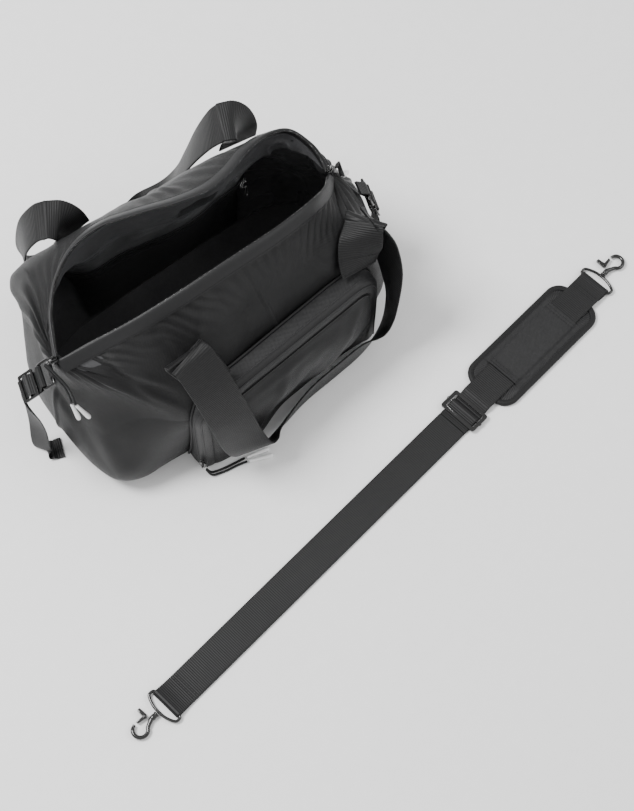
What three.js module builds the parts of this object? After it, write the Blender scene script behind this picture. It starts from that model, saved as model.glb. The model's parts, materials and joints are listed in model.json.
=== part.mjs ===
// Soft duffel bag standing open, with its shoulder strap unclipped and lying beside it.
// Millimetres. +X runs along the bag, -Y is the pocket side, +Z is up.
// The origin is on the ground, under the middle of the base panel.
import * as THREE from "three";

// ---- driving dimensions -------------------------------------------------------------------

const FABRIC = 2.2; // thickness of a shell panel with its backing
const SEAM = 0.012; // stations left free on each side of a shell seam
const BASE_THICK = 2.4;
const BOARD = { halfX: 186, halfY: 82, corner: 30, bottom: 3.2, thick: 2.6 };
const LINING = { gap: 7, thick: 1.4, floor: 6.4, top: 0.91 };
const TAPE = { height: 9, thick: 1.6, bead: 3 }; // one side of the main zip
const HANDLE = { width: 48, thick: 2.2 };
const END_WEB = { width: 25, thick: 1.5 };
const STRAP_WEB = { width: 38, thick: 1.5 };
const POCKET = { left: -108, right: 156, top: 150, corner: 36, bottom: 4, thick: 1.6 };
const WIRE = 1.6; // radius of ring and loop wire
const CORD = 1.4; // radius of a pull cord
const GAP = 0.5; // clearance between touching pieces

const group = new THREE.Group();

// ---- finishes -----------------------------------------------------------------------------

const finishes = {
  shell: { color: 0x1d1d1f, roughness: 0.55, metalness: 0 },
  lining: { color: 0x19191b, roughness: 0.45, metalness: 0 },
  webbing: { color: 0x161617, roughness: 0.6, metalness: 0 },
  tape: { color: 0x232325, roughness: 0.65, metalness: 0 },
  board: { color: 0x101011, roughness: 0.8, metalness: 0 },
  metal: { color: 0x1b1b1d, roughness: 0.28, metalness: 1 },
  bright: { color: 0x8f9194, roughness: 0.3, metalness: 1 },
  cord: { color: 0x111112, roughness: 0.75, metalness: 0 },
  tip: { color: 0xf2f2f0, roughness: 0.45, metalness: 0 },
};

function add(name, geometry, finish, parent = group) {
  const mesh = new THREE.Mesh(geometry, new THREE.MeshStandardMaterial(finishes[finish]));
  mesh.name = name;
  parent.add(mesh);
  return mesh;
}

// ---- geometry helpers ---------------------------------------------------------------------

const vec = (x, y, z) => new THREE.Vector3(x, y, z);
const Z = vec(0, 0, 1);

function along(origin, ...steps) {
  const p = origin.clone();
  for (const [direction, distance] of steps) p.addScaledVector(direction, distance);
  return p;
}

function spline(points, closed = false) {
  const knots = points.map((p) => vec(...p));
  return new THREE.CatmullRomCurve3(knots, closed, "catmullrom", 0.5);
}

function meshFrom(points, index) {
  const geometry = new THREE.BufferGeometry().setFromPoints(points);
  let volume = 0;
  for (let i = 0; i < index.length; i += 3) {
    const [a, b, c] = [points[index[i]], points[index[i + 1]], points[index[i + 2]]];
    volume += a.dot(b.clone().cross(c));
  }
  geometry.setIndex(volume < 0 ? index.reverse() : index);
  return geometry;
}

// Triangles that close a flat ring, turning the same way as the ring.
function capOf(ring) {
  const normal = vec(0, 0, 0);
  ring.forEach((p, i) => normal.add(p.clone().cross(ring[(i + 1) % ring.length])));
  normal.normalize();
  const right = ring[1].clone().sub(ring[0]).normalize();
  const up = normal.clone().cross(right);
  const flat = ring.map((p) => new THREE.Vector2(p.dot(right), p.dot(up)));
  const area = (a, b, c) => (b.x - a.x) * (c.y - a.y) - (b.y - a.y) * (c.x - a.x);
  return THREE.ShapeUtils.triangulateShape(flat, []).map(([a, b, c]) =>
    area(flat[a], flat[b], flat[c]) < 0 ? [a, c, b] : [a, b, c],
  );
}

// A closed body through rings of points. "loop" joins the last ring to the first, "strip" closes
// the ends of a thin folded sheet, whose ring runs along one face and back along the other.
function skin(rings, ends = "flat") {
  const n = rings.length;
  const m = rings[0].length;
  const index = [];
  const steps = ends === "loop" ? n : n - 1;
  for (let i = 0; i < steps; i++)
    for (let j = 0; j < m; j++) {
      const [a, b] = [i * m + j, i * m + ((j + 1) % m)];
      const [c, d] = [((i + 1) % n) * m + j, ((i + 1) % n) * m + ((j + 1) % m)];
      index.push(a, b, d, a, d, c);
    }
  if (ends !== "loop") {
    const strip = [];
    for (let j = 0; j < m / 2 - 1; j++) {
      strip.push([j, j + 1, m - 2 - j], [j, m - 2 - j, m - 1 - j]);
    }
    const first = ends === "strip" ? strip : capOf(rings[0]);
    const last = ends === "strip" ? strip : capOf(rings[n - 1]);
    for (const [a, b, c] of first) index.push(a, c, b);
    for (const [a, b, c] of last) index.push((n - 1) * m + a, (n - 1) * m + b, (n - 1) * m + c);
  }
  return meshFrom(rings.flat(), index);
}

// A flat strap: points along its middle and the direction of its width at each of them.
function ribbon(points, across, width, thick, steps) {
  const middle = spline(points);
  const side = spline(across);
  const rings = [];
  for (let i = 0; i <= steps; i++) {
    const t = i / steps;
    const p = middle.getPoint(t);
    const w = side.getPoint(t).normalize();
    const n = middle.getTangent(t).cross(w).normalize();
    const corner = (a, b) => along(p, [w, (a * width) / 2], [n, (b * thick) / 2]);
    rings.push([corner(-1, -1), corner(1, -1), corner(1, 1), corner(-1, 1)]);
  }
  return skin(rings);
}

function wire(points, radius, steps, sides = 8, closed = false) {
  const path = spline(points, closed);
  const frames = path.computeFrenetFrames(steps, closed);
  const rings = [];
  for (let i = 0; i < (closed ? steps : steps + 1); i++) {
    const p = path.getPointAt(i / steps);
    rings.push(
      Array.from({ length: sides }, (_, k) => {
        const angle = (2 * Math.PI * k) / sides;
        const [c, s] = [radius * Math.cos(angle), radius * Math.sin(angle)];
        return along(p, [frames.normals[i], c], [frames.binormals[i], s]);
      }),
    );
  }
  return skin(rings, closed ? "loop" : "flat");
}

// A frame whose local X, Y and Z lie along the given directions.
function frameAt(origin, x, y) {
  const frame = new THREE.Group();
  frame.matrixAutoUpdate = false;
  frame.matrix.makeBasis(x, y, x.clone().cross(y)).setPosition(origin);
  group.add(frame);
  return frame;
}

function roundedRect(shape, halfX, halfY, r) {
  shape.moveTo(halfX - r, -halfY);
  shape.absarc(halfX - r, -halfY + r, r, -Math.PI / 2, 0);
  shape.absarc(halfX - r, halfY - r, r, 0, Math.PI / 2);
  shape.absarc(-halfX + r, halfY - r, r, Math.PI / 2, Math.PI);
  shape.absarc(-halfX + r, -halfY + r, r, Math.PI, 1.5 * Math.PI);
  shape.closePath();
  return shape;
}

function plate(shape, thick, curveSegments = 4) {
  return new THREE.ExtrudeGeometry(shape, { depth: thick, bevelEnabled: false, curveSegments });
}

// ---- the shell ----------------------------------------------------------------------------

// Sixteen stations go round the bag from the middle of its left end, along the front, round the
// right end and back along the rear. Seams are at stations 2, 6, 10 and 14. Each ring below is
// one height of the slouched body, from the base edge to the shoulder under the mouth.
const RINGS = [
  [
    [-206, 5, 3], [-184, -86, 3], [-118, -104, 3], [-49, -106, 3],
    [26, -102, 3], [96, -98, 3], [150, -94, 3], [186, -78, 3],
    [206, 0, 3], [190, 80, 3], [146, 102, 3], [86, 108, 3],
    [11, 110, 3], [-64, 108, 3], [-136, 102, 3], [-192, 76, 3],
  ],
  [
    [-212, 4, 35], [-196, -97, 32], [-119, -112, 35], [-49, -112, 38],
    [26, -108, 38], [96, -103, 38], [154, -99, 38], [196, -82, 38],
    [212, 0, 38], [196, 84, 38], [148, 108, 38], [86, 118, 38],
    [11, 122, 38], [-64, 121, 38], [-142, 113, 38], [-198, 80, 38],
  ],
  [
    [-204, 8, 92], [-178, -80, 90], [-116, -118, 90], [-49, -114, 90],
    [26, -109, 90], [96, -104, 90], [154, -99, 90], [196, -74, 90],
    [214, 2, 92], [194, 76, 92], [146, 108, 92], [86, 125, 92],
    [11, 130, 92], [-64, 131, 92], [-148, 124, 92], [-196, 76, 92],
  ],
  [
    [-198, 4, 140], [-166, -56, 138], [-111, -117, 130], [-49, -110, 140],
    [26, -103, 142], [96, -97, 142], [150, -94, 137], [190, -58, 140],
    [208, -2, 142], [186, 58, 140], [150, 94, 142], [91, 112, 146],
    [11, 121, 148], [-69, 128, 148], [-166, 128, 146], [-184, 66, 142],
  ],
  [
    [-196, -6, 182], [-186, -30, 183], [-144, -74, 176], [-56, -84, 200],
    [21, -82, 205], [88, -78, 203], [148, -66, 184], [184, -34, 172],
    [192, -4, 168], [188, 26, 178], [165, 58, 196], [98, 82, 206],
    [11, 88, 208], [-74, 100, 206], [-162, 92, 198], [-195, 28, 188],
  ],
];
// The mouth: the front edge runs from its left end to its right, the rear edge back again.
const MOUTH_FRONT = [
  [-195, -17, 205], [-159, -27, 216], [-106, -42, 234], [-44, -50, 246], [16, -53, 250],
  [72, -52, 247], [118, -44, 236], [149, -31, 218], [172, -10, 197],
];
const MOUTH_REAR = [
  [174, -4, 196], [175, 10, 207], [170, 26, 222], [156, 45, 238], [132, 53, 243], [104, 50, 246],
  [72, 40, 247], [42, 36, 247], [6, 44, 245], [-34, 60, 243], [-74, 73, 240], [-112, 73, 235],
  [-144, 58, 228], [-169, 36, 219], [-186, 10, 211], [-196, -10, 205],
];
const MOUTH_LEFT = [[-196, -10, 205], [-197, -13.5, 203], [-195, -17, 205]];
const MOUTH_RIGHT = [[172, -10, 197], [175, -7, 195], [174, -4, 196]];

const STATIONS = 16;
const ringCurves = RINGS.map((ring) => spline(ring, true));
const mouthCurves = [MOUTH_FRONT, MOUTH_RIGHT, MOUTH_REAR, MOUTH_LEFT].map((p) => spline(p));

function mouth(u) {
  const turn = (((u - 2) % STATIONS) + STATIONS) % STATIONS;
  return mouthCurves[Math.floor(turn / 4)].getPoint((turn % 4) / 4);
}

// The outside of the shell at station u and height v, from 0 at the base to 1 at the mouth.
function shell(u, v) {
  const turn = (((u % STATIONS) + STATIONS) % STATIONS) / STATIONS;
  const knots = ringCurves.map((curve) => curve.getPoint(turn));
  knots.push(mouth(u));
  return new THREE.CatmullRomCurve3(knots, false, "catmullrom", 0.5).getPoint(v);
}

// Level direction from a point of the shell to the inside of the bag.
const SPINE = 150;
function inward(p) {
  const x = p.x - Math.max(-SPINE, Math.min(SPINE, p.x));
  return vec(-x, -p.y, 0).normalize();
}

// Along the mouth's edge, and square to it, up the slope of the shell.
function mouthAlong(u) {
  const turn = (((u - 2) % STATIONS) + STATIONS) % STATIONS;
  return mouthCurves[Math.floor(turn / 4)].getTangent((turn % 4) / 4);
}

function mouthUp(u) {
  const rise = mouth(u).sub(shell(u, 0.93));
  const edge = mouthAlong(u);
  return rise.addScaledVector(edge, -rise.dot(edge)).normalize();
}

function panel(from, to, columns, top) {
  const rings = [];
  for (let i = 0; i <= columns; i++) {
    const u = from + SEAM + ((to - from - 2 * SEAM) * i) / columns;
    const levels = [0, 0.08, 0.2, 0.3, 0.4, 0.5, 0.6, 0.7, 0.8, 0.88];
    const outer = levels.map((v) => shell(u, v));
    outer.push(top(u));
    const inner = outer.map((p) => along(p, [inward(p), FABRIC]));
    rings.push([...outer, ...inner.reverse()]);
  }
  return skin(rings, "strip");
}

// The shell just below the zip tape, whose height is measured square to the mouth's edge.
function underTape(u) {
  const fall = shell(u, 0.93).sub(mouth(u)).normalize();
  return along(mouth(u), [fall, -(TAPE.height + 2 * GAP) / fall.dot(mouthUp(u))]);
}
const endTop = (u) => shell(u, 0.94);
add("front_panel", panel(2, 6, 16, underTape), "shell");
add("rear_panel", panel(10, 14, 16, underTape), "shell");
add("right_end_panel", panel(6, 10, 12, endTop), "shell");
add("left_end_panel", panel(14, 18, 12, endTop), "shell");

const baseShape = new THREE.Shape(
  Array.from({ length: 48 }, (_, i) => {
    const p = ringCurves[0].getPoint(i / 48);
    return new THREE.Vector2(p.x, p.y);
  }),
);
add("base_panel", plate(baseShape, BASE_THICK), "shell");
const boardShape = roundedRect(new THREE.Shape(), BOARD.halfX, BOARD.halfY, BOARD.corner);
add("base_board", plate(boardShape, BOARD.thick), "board").position.z = BOARD.bottom;

// Each side of the main zip: a tape with the coil along its free edge.
function zipSide(from, to, steps) {
  const rings = [];
  for (let i = 0; i <= steps; i++) {
    const u = from + ((to - from) * i) / steps;
    const edge = mouth(u);
    const [up, into] = [mouthUp(u), inward(edge)];
    const at = (a, b) => along(edge, [up, a], [into, b]);
    rings.push([
      at(-TAPE.height, 0), at(-0.5, 0), at(2, -0.6), at(2, TAPE.bead),
      at(-0.8, TAPE.bead), at(-0.8, TAPE.thick), at(-TAPE.height, TAPE.thick),
    ]);
  }
  return skin(rings);
}
add("front_zip_tape", zipSide(2.06, 5.94, 32), "tape");
add("rear_zip_tape", zipSide(10.12, 13.94, 40), "tape");

// ---- the lining ---------------------------------------------------------------------------

// The lining hangs straight from the mouth to the base along the front and rear, and follows the
// shell round the ends.
function liningAt(u, v, inset) {
  const outside = shell(u, v);
  const straight = mouth(u).lerp(shell(u, 0), 1 - v);
  const away = Math.abs((((u % 8) + 8) % 8) - 4) / 2;
  const hang = 0.8 * THREE.MathUtils.smoothstep(1 - away, 0.1, 0.6);
  const p = outside.lerp(straight, hang);
  return along(p, [inward(p), LINING.gap + inset]);
}

function liningGeometry() {
  const columns = 48;
  const rows = [0.02, 0.15, 0.3, 0.45, 0.6, 0.75, 0.85, LINING.top];
  const loop = (v, inset, floor) =>
    Array.from({ length: columns }, (_, i) => {
      const p = liningAt((i * STATIONS) / columns, v, inset);
      return floor === undefined ? p : vec(p.x, p.y, floor);
    });
  const outer = rows.map((v) => loop(v, 0, v === rows[0] ? LINING.floor : undefined));
  const under = LINING.floor + LINING.thick;
  const inner = rows.map((v) => loop(v, LINING.thick, v === rows[0] ? under : undefined));
  return skin([...outer, ...inner.reverse()]);
}
add("lining", liningGeometry(), "lining");

// A patch that lies on the inner face of the lining, between two stations and two heights.
function liningPatch(from, to, low, high, inset, thick, columns = 10, rows = 3) {
  const rings = [];
  for (let i = 0; i <= columns; i++) {
    const u = from + ((to - from) * i) / columns;
    const face = [];
    for (let j = 0; j <= rows; j++) {
      const v = low + ((high - low) * j) / rows;
      face.push(liningAt(u, v, LINING.thick + inset));
    }
    const back = face.map((p) => along(p, [inward(p), thick]));
    rings.push([...face, ...back.reverse()]);
  }
  return skin(rings, "strip");
}
add("inner_pocket_panel", liningPatch(10.6, 13.45, 0.08, 0.47, 2.6, 1.2), "shell");
add("inner_zip_tape", liningPatch(10.6, 13.45, 0.49, 0.53, 2.6, 1.2, 10, 1), "tape");
add("woven_label", liningPatch(11.7, 12.1, 0.8, 0.87, 1.2, 0.6, 2, 1), "cord");

const innerSliderAt = liningAt(10.85, 0.51, LINING.thick + 5);
const innerAlong = liningAt(10.6, 0.51, 0).sub(liningAt(11.1, 0.51, 0)).setZ(0).normalize();
const innerFrame = frameAt(innerSliderAt, innerAlong, Z);
const sliderBody = new THREE.Shape();
sliderBody.moveTo(-6, -3);
sliderBody.lineTo(5, -4.5);
sliderBody.quadraticCurveTo(7, 0, 5, 4.5);
sliderBody.lineTo(-6, 3);
sliderBody.quadraticCurveTo(-7, 0, -6, -3);
add("inner_slider", plate(sliderBody, 3), "bright", innerFrame);
const innerPull = [
  [0, -2, 5.5], [3.5, -7, 5.5], [3.5, -20, 5.5], [0, -24, 5.5], [-3.5, -20, 5.5], [-3.5, -7, 5.5],
];
add("inner_pull", wire(innerPull, 0.9, 24, 6, true), "bright", innerFrame);

// ---- the front pocket ---------------------------------------------------------------------

// The outside of the shell at a given x and z on the front.
function onFront(x, z) {
  let u = 2 + (4 * (x + 114)) / 264;
  let v = z / 220;
  for (let i = 0; i < 30; i++) {
    const p = shell(u, v);
    u = THREE.MathUtils.clamp(u + (x - p.x) / 80, 1.6, 6.4);
    v = THREE.MathUtils.clamp(v + (z - p.z) / 300, 0, 1);
  }
  return shell(u, v);
}

const leanAt = (x) => 0.075 * (Math.max(x, -50) - 26);

// The pocket's outline: up its left side, over the top and down its right side.
const pocketPath = [];
{
  const { left, right, top, corner, bottom } = POCKET;
  const place = (x, z, angle) =>
    pocketPath.push({ x, z, out: vec(Math.cos(angle), 0, Math.sin(angle)) });
  for (const z of [bottom, 40, 78]) place(left, z, Math.PI);
  for (let i = 0; i <= 5; i++) {
    const angle = Math.PI - (i * Math.PI) / 10;
    const [c, s] = [Math.cos(angle), Math.sin(angle)];
    place(left + corner + corner * c, top - corner + corner * s, angle);
  }
  for (let i = 1; i < 8; i++)
    place(left + corner + ((right - left - 2 * corner) * i) / 8, top, Math.PI / 2);
  for (let i = 0; i <= 5; i++) {
    const angle = Math.PI / 2 - (i * Math.PI) / 10;
    const [c, s] = [Math.cos(angle), Math.sin(angle)];
    place(right - corner + corner * c, top - corner + corner * s, angle);
  }
  for (const z of [78, 40, bottom]) place(right, z, 0);
}

// A band that follows the outline; its section gives y and the distance outside the outline.
function pocketBand(section) {
  return skin(
    pocketPath.map(({ x, z, out }) => {
      const back = onFront(x, z).y;
      return section(back, leanAt(x)).map(([y, away]) => along(vec(x, y, z), [out, away]));
    }),
  );
}
const gussetFront = (lean) => -116 + lean;
const zipFront = (lean) => -131 + lean;
add(
  "pocket_gusset",
  pocketBand((back, lean) => [
    [back - 1, 0], [gussetFront(lean) - 5, 1], [gussetFront(lean) - 5, -0.6], [back - 1, -1.6],
  ]),
  "shell",
);
add(
  "pocket_zip_tape",
  pocketBand((back, lean) => [
    [gussetFront(lean) - 5.6, 1.2], [gussetFront(lean) - 11, -3], [zipFront(lean), -15],
    [zipFront(lean) + 1.6, -15], [gussetFront(lean) - 9.4, -4.4], [gussetFront(lean) - 5.6, -0.4],
  ]),
  "tape",
);
const piping = pocketPath.map(({ x, z, out }) => {
  const p = along(vec(x, onFront(x, z).y - 2.4, z), [out, 2.4]);
  return [p.x, p.y, Math.max(p.z, 3)];
});
add("pocket_piping", wire(piping, 1.3, 44, 6), "cord");

// The face bulges out between the zip and the base, and turns under to meet the shell.
function pocketFace() {
  const inset = 15.6;
  const [left, right] = [POCKET.left + inset, POCKET.right - inset];
  const radius = POCKET.corner - inset;
  const edgeTop = POCKET.top - inset;
  const columns = 18;
  const rings = [];
  for (let i = 0; i <= columns; i++) {
    const x = left + ((right - left) * (1 - Math.cos((Math.PI * i) / columns))) / 2;
    const nearEdge = Math.min(x - left, right - x, radius);
    const top = edgeTop - radius + Math.sqrt(radius ** 2 - (radius - nearEdge) ** 2);
    const fill = Math.sqrt(Math.min(1, Math.min(x - left, right - x) / 40));
    const tuck = 14 * THREE.MathUtils.smoothstep(x, -50, 20);
    const lean = leanAt(x);
    const face = [[x, onFront(x, POCKET.bottom).y - 1, POCKET.bottom - 1]];
    const depths = [
      [0, 5 - tuck, 0], [0.15, 6 - tuck, 0], [0.35, 8 - tuck / 2, 2], [0.52, 9, 3], [0.75, 9, 4], [1, 0, 0],
    ];
    for (const [share, out, more] of depths) {
      const z = POCKET.bottom - 1 + (top - POCKET.bottom + 1) * share;
      const bulge = share === 1 ? 0 : out * fill - (1 - fill) * 2 + more * fill;
      face.push([x, zipFront(lean) - 0.3 - bulge, z]);
    }
    const outer = face.map((p) => vec(...p));
    const inner = outer.map((p, k) => {
      const back = k === 0 ? 0 : POCKET.thick;
      const lift = k < 2 ? POCKET.thick : 0;
      return vec(p.x, p.y + back, p.z + lift);
    });
    rings.push([...outer, ...inner.reverse()]);
  }
  return skin(rings, "strip");
}
add("pocket_face", pocketFace(), "shell");

// ---- handles ------------------------------------------------------------------------------

// Each handle is a loop of webbing. Its sewn ends stand up from the shell and fold over, and the
// rest falls outside the bag, stands on edge along the ground and comes back up.
const FRONT_LEFT_END = [
  [-86, -118, 154], [-89, -107, 184], [-91, -98, 206], [-91, -96.6, 214], [-90.6, -97.6, 219.5],
];
const FRONT_GRIP = [
  [-90, -100.8, 222.4], [-87, -112, 217], [-82, -134, 180], [-76, -152, 128], [-69, -161, 80],
  [-60, -166, 52], [-42, -164, 36], [-18, -157, 30], [34, -143, 27], [84, -138, 26],
  [122, -135, 27], [149, -134, 38], [165, -129, 62], [173, -120, 94], [179, -107, 132],
  [180, -93, 170], [175, -83, 194], [169.8, -78.2, 200.4],
];
const FRONT_GRIP_ACROSS = [
  [1, 0, 0], [1, 0, 0], [1, -0.1, 0], [1, -0.15, 0], [1, -0.25, 0.1],
  [0.85, -0.4, 0.4], [0.3, -0.45, 0.85], [0, -0.3, 1], [0, -0.18, 1], [0, -0.15, 1],
  [-0.1, -0.2, 1], [-0.4, -0.5, 0.7], [-0.5, -0.8, 0.3], [-0.3, -0.95, 0.1], [0, -1, 0],
  [0.15, -1, 0], [0.2, -1, 0], [0.2, -1, 0],
];
const FRONT_RIGHT_END = [
  [168, -78, 201.6], [160, -82, 203], [150, -92, 193], [142, -98, 174], [138, -104, 154],
];
const FRONT_RIGHT_ACROSS = [
  [0.2, -1, 0], [0.3, -0.9, 0], [0.75, -0.5, 0], [0.97, -0.05, 0], [1, 0.08, 0],
];
const WORLD_X = [1, 0, 0];
function handlePart(name, points, across, steps) {
  add(name, ribbon(points, across, HANDLE.width, HANDLE.thick, steps), "webbing");
}
handlePart("front_handle_left_end", FRONT_LEFT_END, Array(5).fill(WORLD_X), 10);
handlePart("front_handle_grip", FRONT_GRIP, FRONT_GRIP_ACROSS, 60);
handlePart("front_handle_right_end", FRONT_RIGHT_END, FRONT_RIGHT_ACROSS, 12);

const REAR_LEFT_END = [[-84, 131, 152], [-88, 130, 172], [-95, 133, 188], [-102.8, 138.2, 191.8]];
const REAR_LEFT_ACROSS = [[1, 0, 0], [1, 0.1, 0], [1, 0.3, 0], [0.9, 0.5, 0]];
const REAR_GRIP = [
  [-105.8, 140.2, 192.6], [-118, 147, 187], [-132, 154, 165], [-138, 159, 128], [-134, 163, 86],
  [-122, 167, 46], [-98, 170, 28], [-50, 171, 27], [0, 168, 28], [36, 160, 46],
  [56, 148, 86], [68, 136, 130], [82, 126, 172], [98, 116, 204], [110.8, 108.7, 218.4],
];
const REAR_GRIP_ACROSS = [
  [0.9, 0.5, 0], [0.8, 0.7, 0], [0.6, 0.8, 0], [0.4, 0.9, 0.1], [0.1, 1, 0.2],
  [0, 0.7, 0.7], [0, 0.25, 1], [0, 0.15, 1], [0.1, 0.3, 0.95], [0.6, 0.5, 0.6],
  [0.85, 0.4, 0.3], [0.9, 0.35, 0.2], [0.9, 0.35, 0.1], [0.9, 0.4, 0], [0.95, 0.3, 0],
];
const REAR_RIGHT_END = [
  [113.8, 107.1, 218.8], [123, 103, 216], [130, 103, 200], [132, 106, 178], [131, 110, 156],
];
const REAR_RIGHT_ACROSS = [[0.95, 0.3, 0], [1, 0.2, 0], [1, 0, 0], [1, -0.1, 0], [1, -0.15, 0]];
handlePart("rear_handle_left_end", REAR_LEFT_END, REAR_LEFT_ACROSS, 10);
handlePart("rear_handle_grip", REAR_GRIP, REAR_GRIP_ACROSS, 56);
handlePart("rear_handle_right_end", REAR_RIGHT_END, REAR_RIGHT_ACROSS, 12);

// ---- zip ends, rings and side straps ------------------------------------------------------

// A slide adjuster: a plate with a slot on each side of its middle bar.
const SLIDE = { halfX: 9.8, halfY: 16.2, bar: 2.2, thick: 2 };
function slideAdjuster() {
  const { halfX, halfY, bar, thick } = SLIDE;
  const outline = roundedRect(new THREE.Shape(), halfX, halfY, 2);
  const [inner, outer] = [bar / 2, halfX - bar];
  const [tall, short] = [halfY - bar, halfY - bar - 1];
  for (const side of [-1, 1]) {
    const corners = [[inner, -tall], [outer, -short], [outer, short], [inner, tall]];
    outline.holes.push(new THREE.Path(corners.map(([x, y]) => new THREE.Vector2(side * x, y))));
  }
  return plate(outline, thick, 3);
}

// At each end of the mouth a folded tab holds a ring. A narrow strap is folded round the far bar
// of the ring, threads its adjuster and runs down to the base. "out" points away from the bag,
// "dip" is how steeply the ring and adjuster hang, and "legs" leads from the ring to the tab's seam.
const RING = { halfWidth: 14.8, reach: 14 };
function sideStrap(side, bar, out, dip, legs, lower, lowerAcross) {
  const w = Z.clone().cross(out);
  const hang = along(vec(0, 0, 0), [out, Math.cos(dip)], [Z, -Math.sin(dip)]);
  const face = hang.clone().cross(w);
  const apart = w.clone().cross(legs);
  const at = (a, b, c) => along(bar, [hang, a], [w, b], [face, c]).toArray();

  const leg = (far, gap) => along(bar, [legs, far], [apart, gap]).toArray();
  const tab = [
    leg(15, -0.8), leg(6, -1.9), leg(0, -2.5), leg(-2.6, 0), leg(0, 2.5), leg(6, 1.9), leg(15, 0.8),
  ];
  add(side + "_zip_end_tab", ribbon(tab, tab.map(() => w.toArray()), 17, 1.2, 16), "webbing");

  const { halfWidth, reach } = RING;
  const half = [
    [0, 4], [0, 12], [1.2, halfWidth - 0.4], [reach / 2, halfWidth],
    [reach - 1.2, halfWidth - 0.4], [reach, 12], [reach, 4],
  ];
  const other = half.map(([a, b]) => [a, -b]).reverse();
  const loop = [...half, ...other].map(([a, b]) => at(a, b, 0));
  add(side + "_ring", wire(loop, WIRE, 36, 6, true), "metal");

  const middle = reach + 18;
  const threaded = [
    [4, -6], [-6, -5.8], [-14, -5.2], [-18, -3.1], [-21.1, 0], [-18, 3.1], [-14, 0.6],
    [-10.8, -2.8], [-8.6, -2.9], [-4.3, 0], [0, 2.9], [4.3, 0], [8.8, -2.9], [13.4, -3],
  ].map(([a, c]) => at(middle + a, 0, c));
  const path = [...threaded, ...lower];
  const across = [...threaded.map(() => w.toArray()), ...lowerAcross];
  add(side + "_end_strap", ribbon(path, across, END_WEB.width, END_WEB.thick, 76), "webbing");

  const origin = vec(...at(middle, 0, -SLIDE.thick / 2));
  add(side + "_adjuster", slideAdjuster(), "metal", frameAt(origin, hang, w));
}

sideStrap(
  "left",
  vec(-206, -14, 193),
  vec(-0.95, 0.31, 0).normalize(),
  THREE.MathUtils.degToRad(33),
  vec(-0.05, -0.1, -1).normalize(),
  [
    [-239, -2, 150], [-238, 1, 125], [-235, 3, 92], [-235, 3, 55],
    [-239, 0, 20], [-238, -3, 5], [-230, -8, 2.2], [-220, -12, 2.2],
  ],
  [
    [-0.35, -0.94, 0], [-0.1, -1, 0], [0.1, -1, 0], [0.3, -0.95, 0],
    [0.45, -0.9, 0], [0.49, -0.87, 0], [0.49, -0.87, 0], [0.49, -0.87, 0],
  ],
);
sideStrap(
  "right",
  vec(209, -27, 152),
  vec(0.94, -0.34, 0).normalize(),
  THREE.MathUtils.degToRad(72),
  vec(-0.66, 0.15, 0.74).normalize(),
  [
    [222, -32, 95], [222, -32, 60], [222, -32, 25], [221, -32, 8], [215, -30, 2.2], [210, -28, 2.2],
  ],
  [
    [0.34, 0.94, 0], [0.3, 0.95, 0], [0.3, 0.95, 0], [0.3, 0.95, 0], [0.3, 0.95, 0], [0.3, 0.95, 0],
  ],
);

// ---- zip sliders and their cord pulls -----------------------------------------------------

const sliderPlate = () => plate(sliderBody, 3.6);

// A doubled cord leaves the slider's eye, at the first knot, and ends in two moulded tips.
function cordPull(name, knots, spread, tips) {
  const strand = (sign) => knots.map((p, i) => along(vec(...p), [spread, sign * (i ? 2 : 1.6)]));
  const ends = tips.map(([from, to], i) => {
    const [start, end] = [vec(...from), vec(...to)];
    const length = start.distanceTo(end);
    const heading = end.sub(start).normalize();
    const profile = [
      [0, 0], [1.9, 0], [2.1, length * 0.4], [2.7, length * 0.75],
      [2.4, length - 1.6], [1.3, length - 0.4], [0, length],
    ].map(([x, y]) => new THREE.Vector2(x, y));
    const tip = add(name + "_tip_" + "ab"[i], new THREE.LatheGeometry(profile, 8), "tip");
    tip.position.copy(start);
    tip.quaternion.setFromUnitVectors(vec(0, 1, 0), heading);
    return along(start, [heading, -2.6]);
  });
  const path = [ends[0], ...strand(1).reverse(), ...strand(-1), ends[1]].map((p) => p.toArray());
  add(name + "_cord", wire(path, CORD, 36, 6), "cord");
}

// A main slider sits on the coil where the two sides of the mouth meet.
function mainSlider(name, u, setBack) {
  const [edge, up] = [mouthAlong(u), mouthUp(u)];
  const origin = along(mouth(u), [edge, setBack], [up, 2.8], [inward(mouth(u)), 1]);
  add(name, sliderPlate(), "metal", frameAt(origin, edge, up.clone().cross(edge)));
}
mainSlider("left_slider", 2, -6);
mainSlider("right_slider", 6, 7.5);
cordPull(
  "left_pull",
  [[-208.6, -12, 206], [-206, -24, 199], [-202.5, -34, 182], [-201.5, -38, 158]],
  vec(0.62, -0.78, 0),
  [[[-200.4, -43.8, 148], [-193, -53, 122]], [[-203.6, -39.4, 148], [-203, -47, 121]]],
);
cordPull(
  "right_pull",
  [[183.5, -5, 198], [189, -1, 195], [189, -3.5, 191]],
  vec(0.3, -0.3, 0.9),
  [[[186.4, -15.4, 189.8], [199.5, -5, 172]], [[189, -7.6, 178], [204, 2.4, 158]]],
);

const pocketSliderFrame = frameAt(vec(-107.4, -134.5, 22), Z, vec(-0.5, 0.866, 0));
add("pocket_slider", sliderPlate(), "metal", pocketSliderFrame);
cordPull(
  "pocket_pull",
  [[-108, -141, 12], [-104, -145, 4], [-90, -149, 2.2], [-74, -152, 2.2]],
  vec(0.2, 0.98, 0),
  [[[-61, -152.6, 3.1], [-34, -160, 3.1]], [[-61.4, -158, 3.1], [-35, -169, 3.1]]],
);

// ---- the shoulder strap -------------------------------------------------------------------

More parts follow.
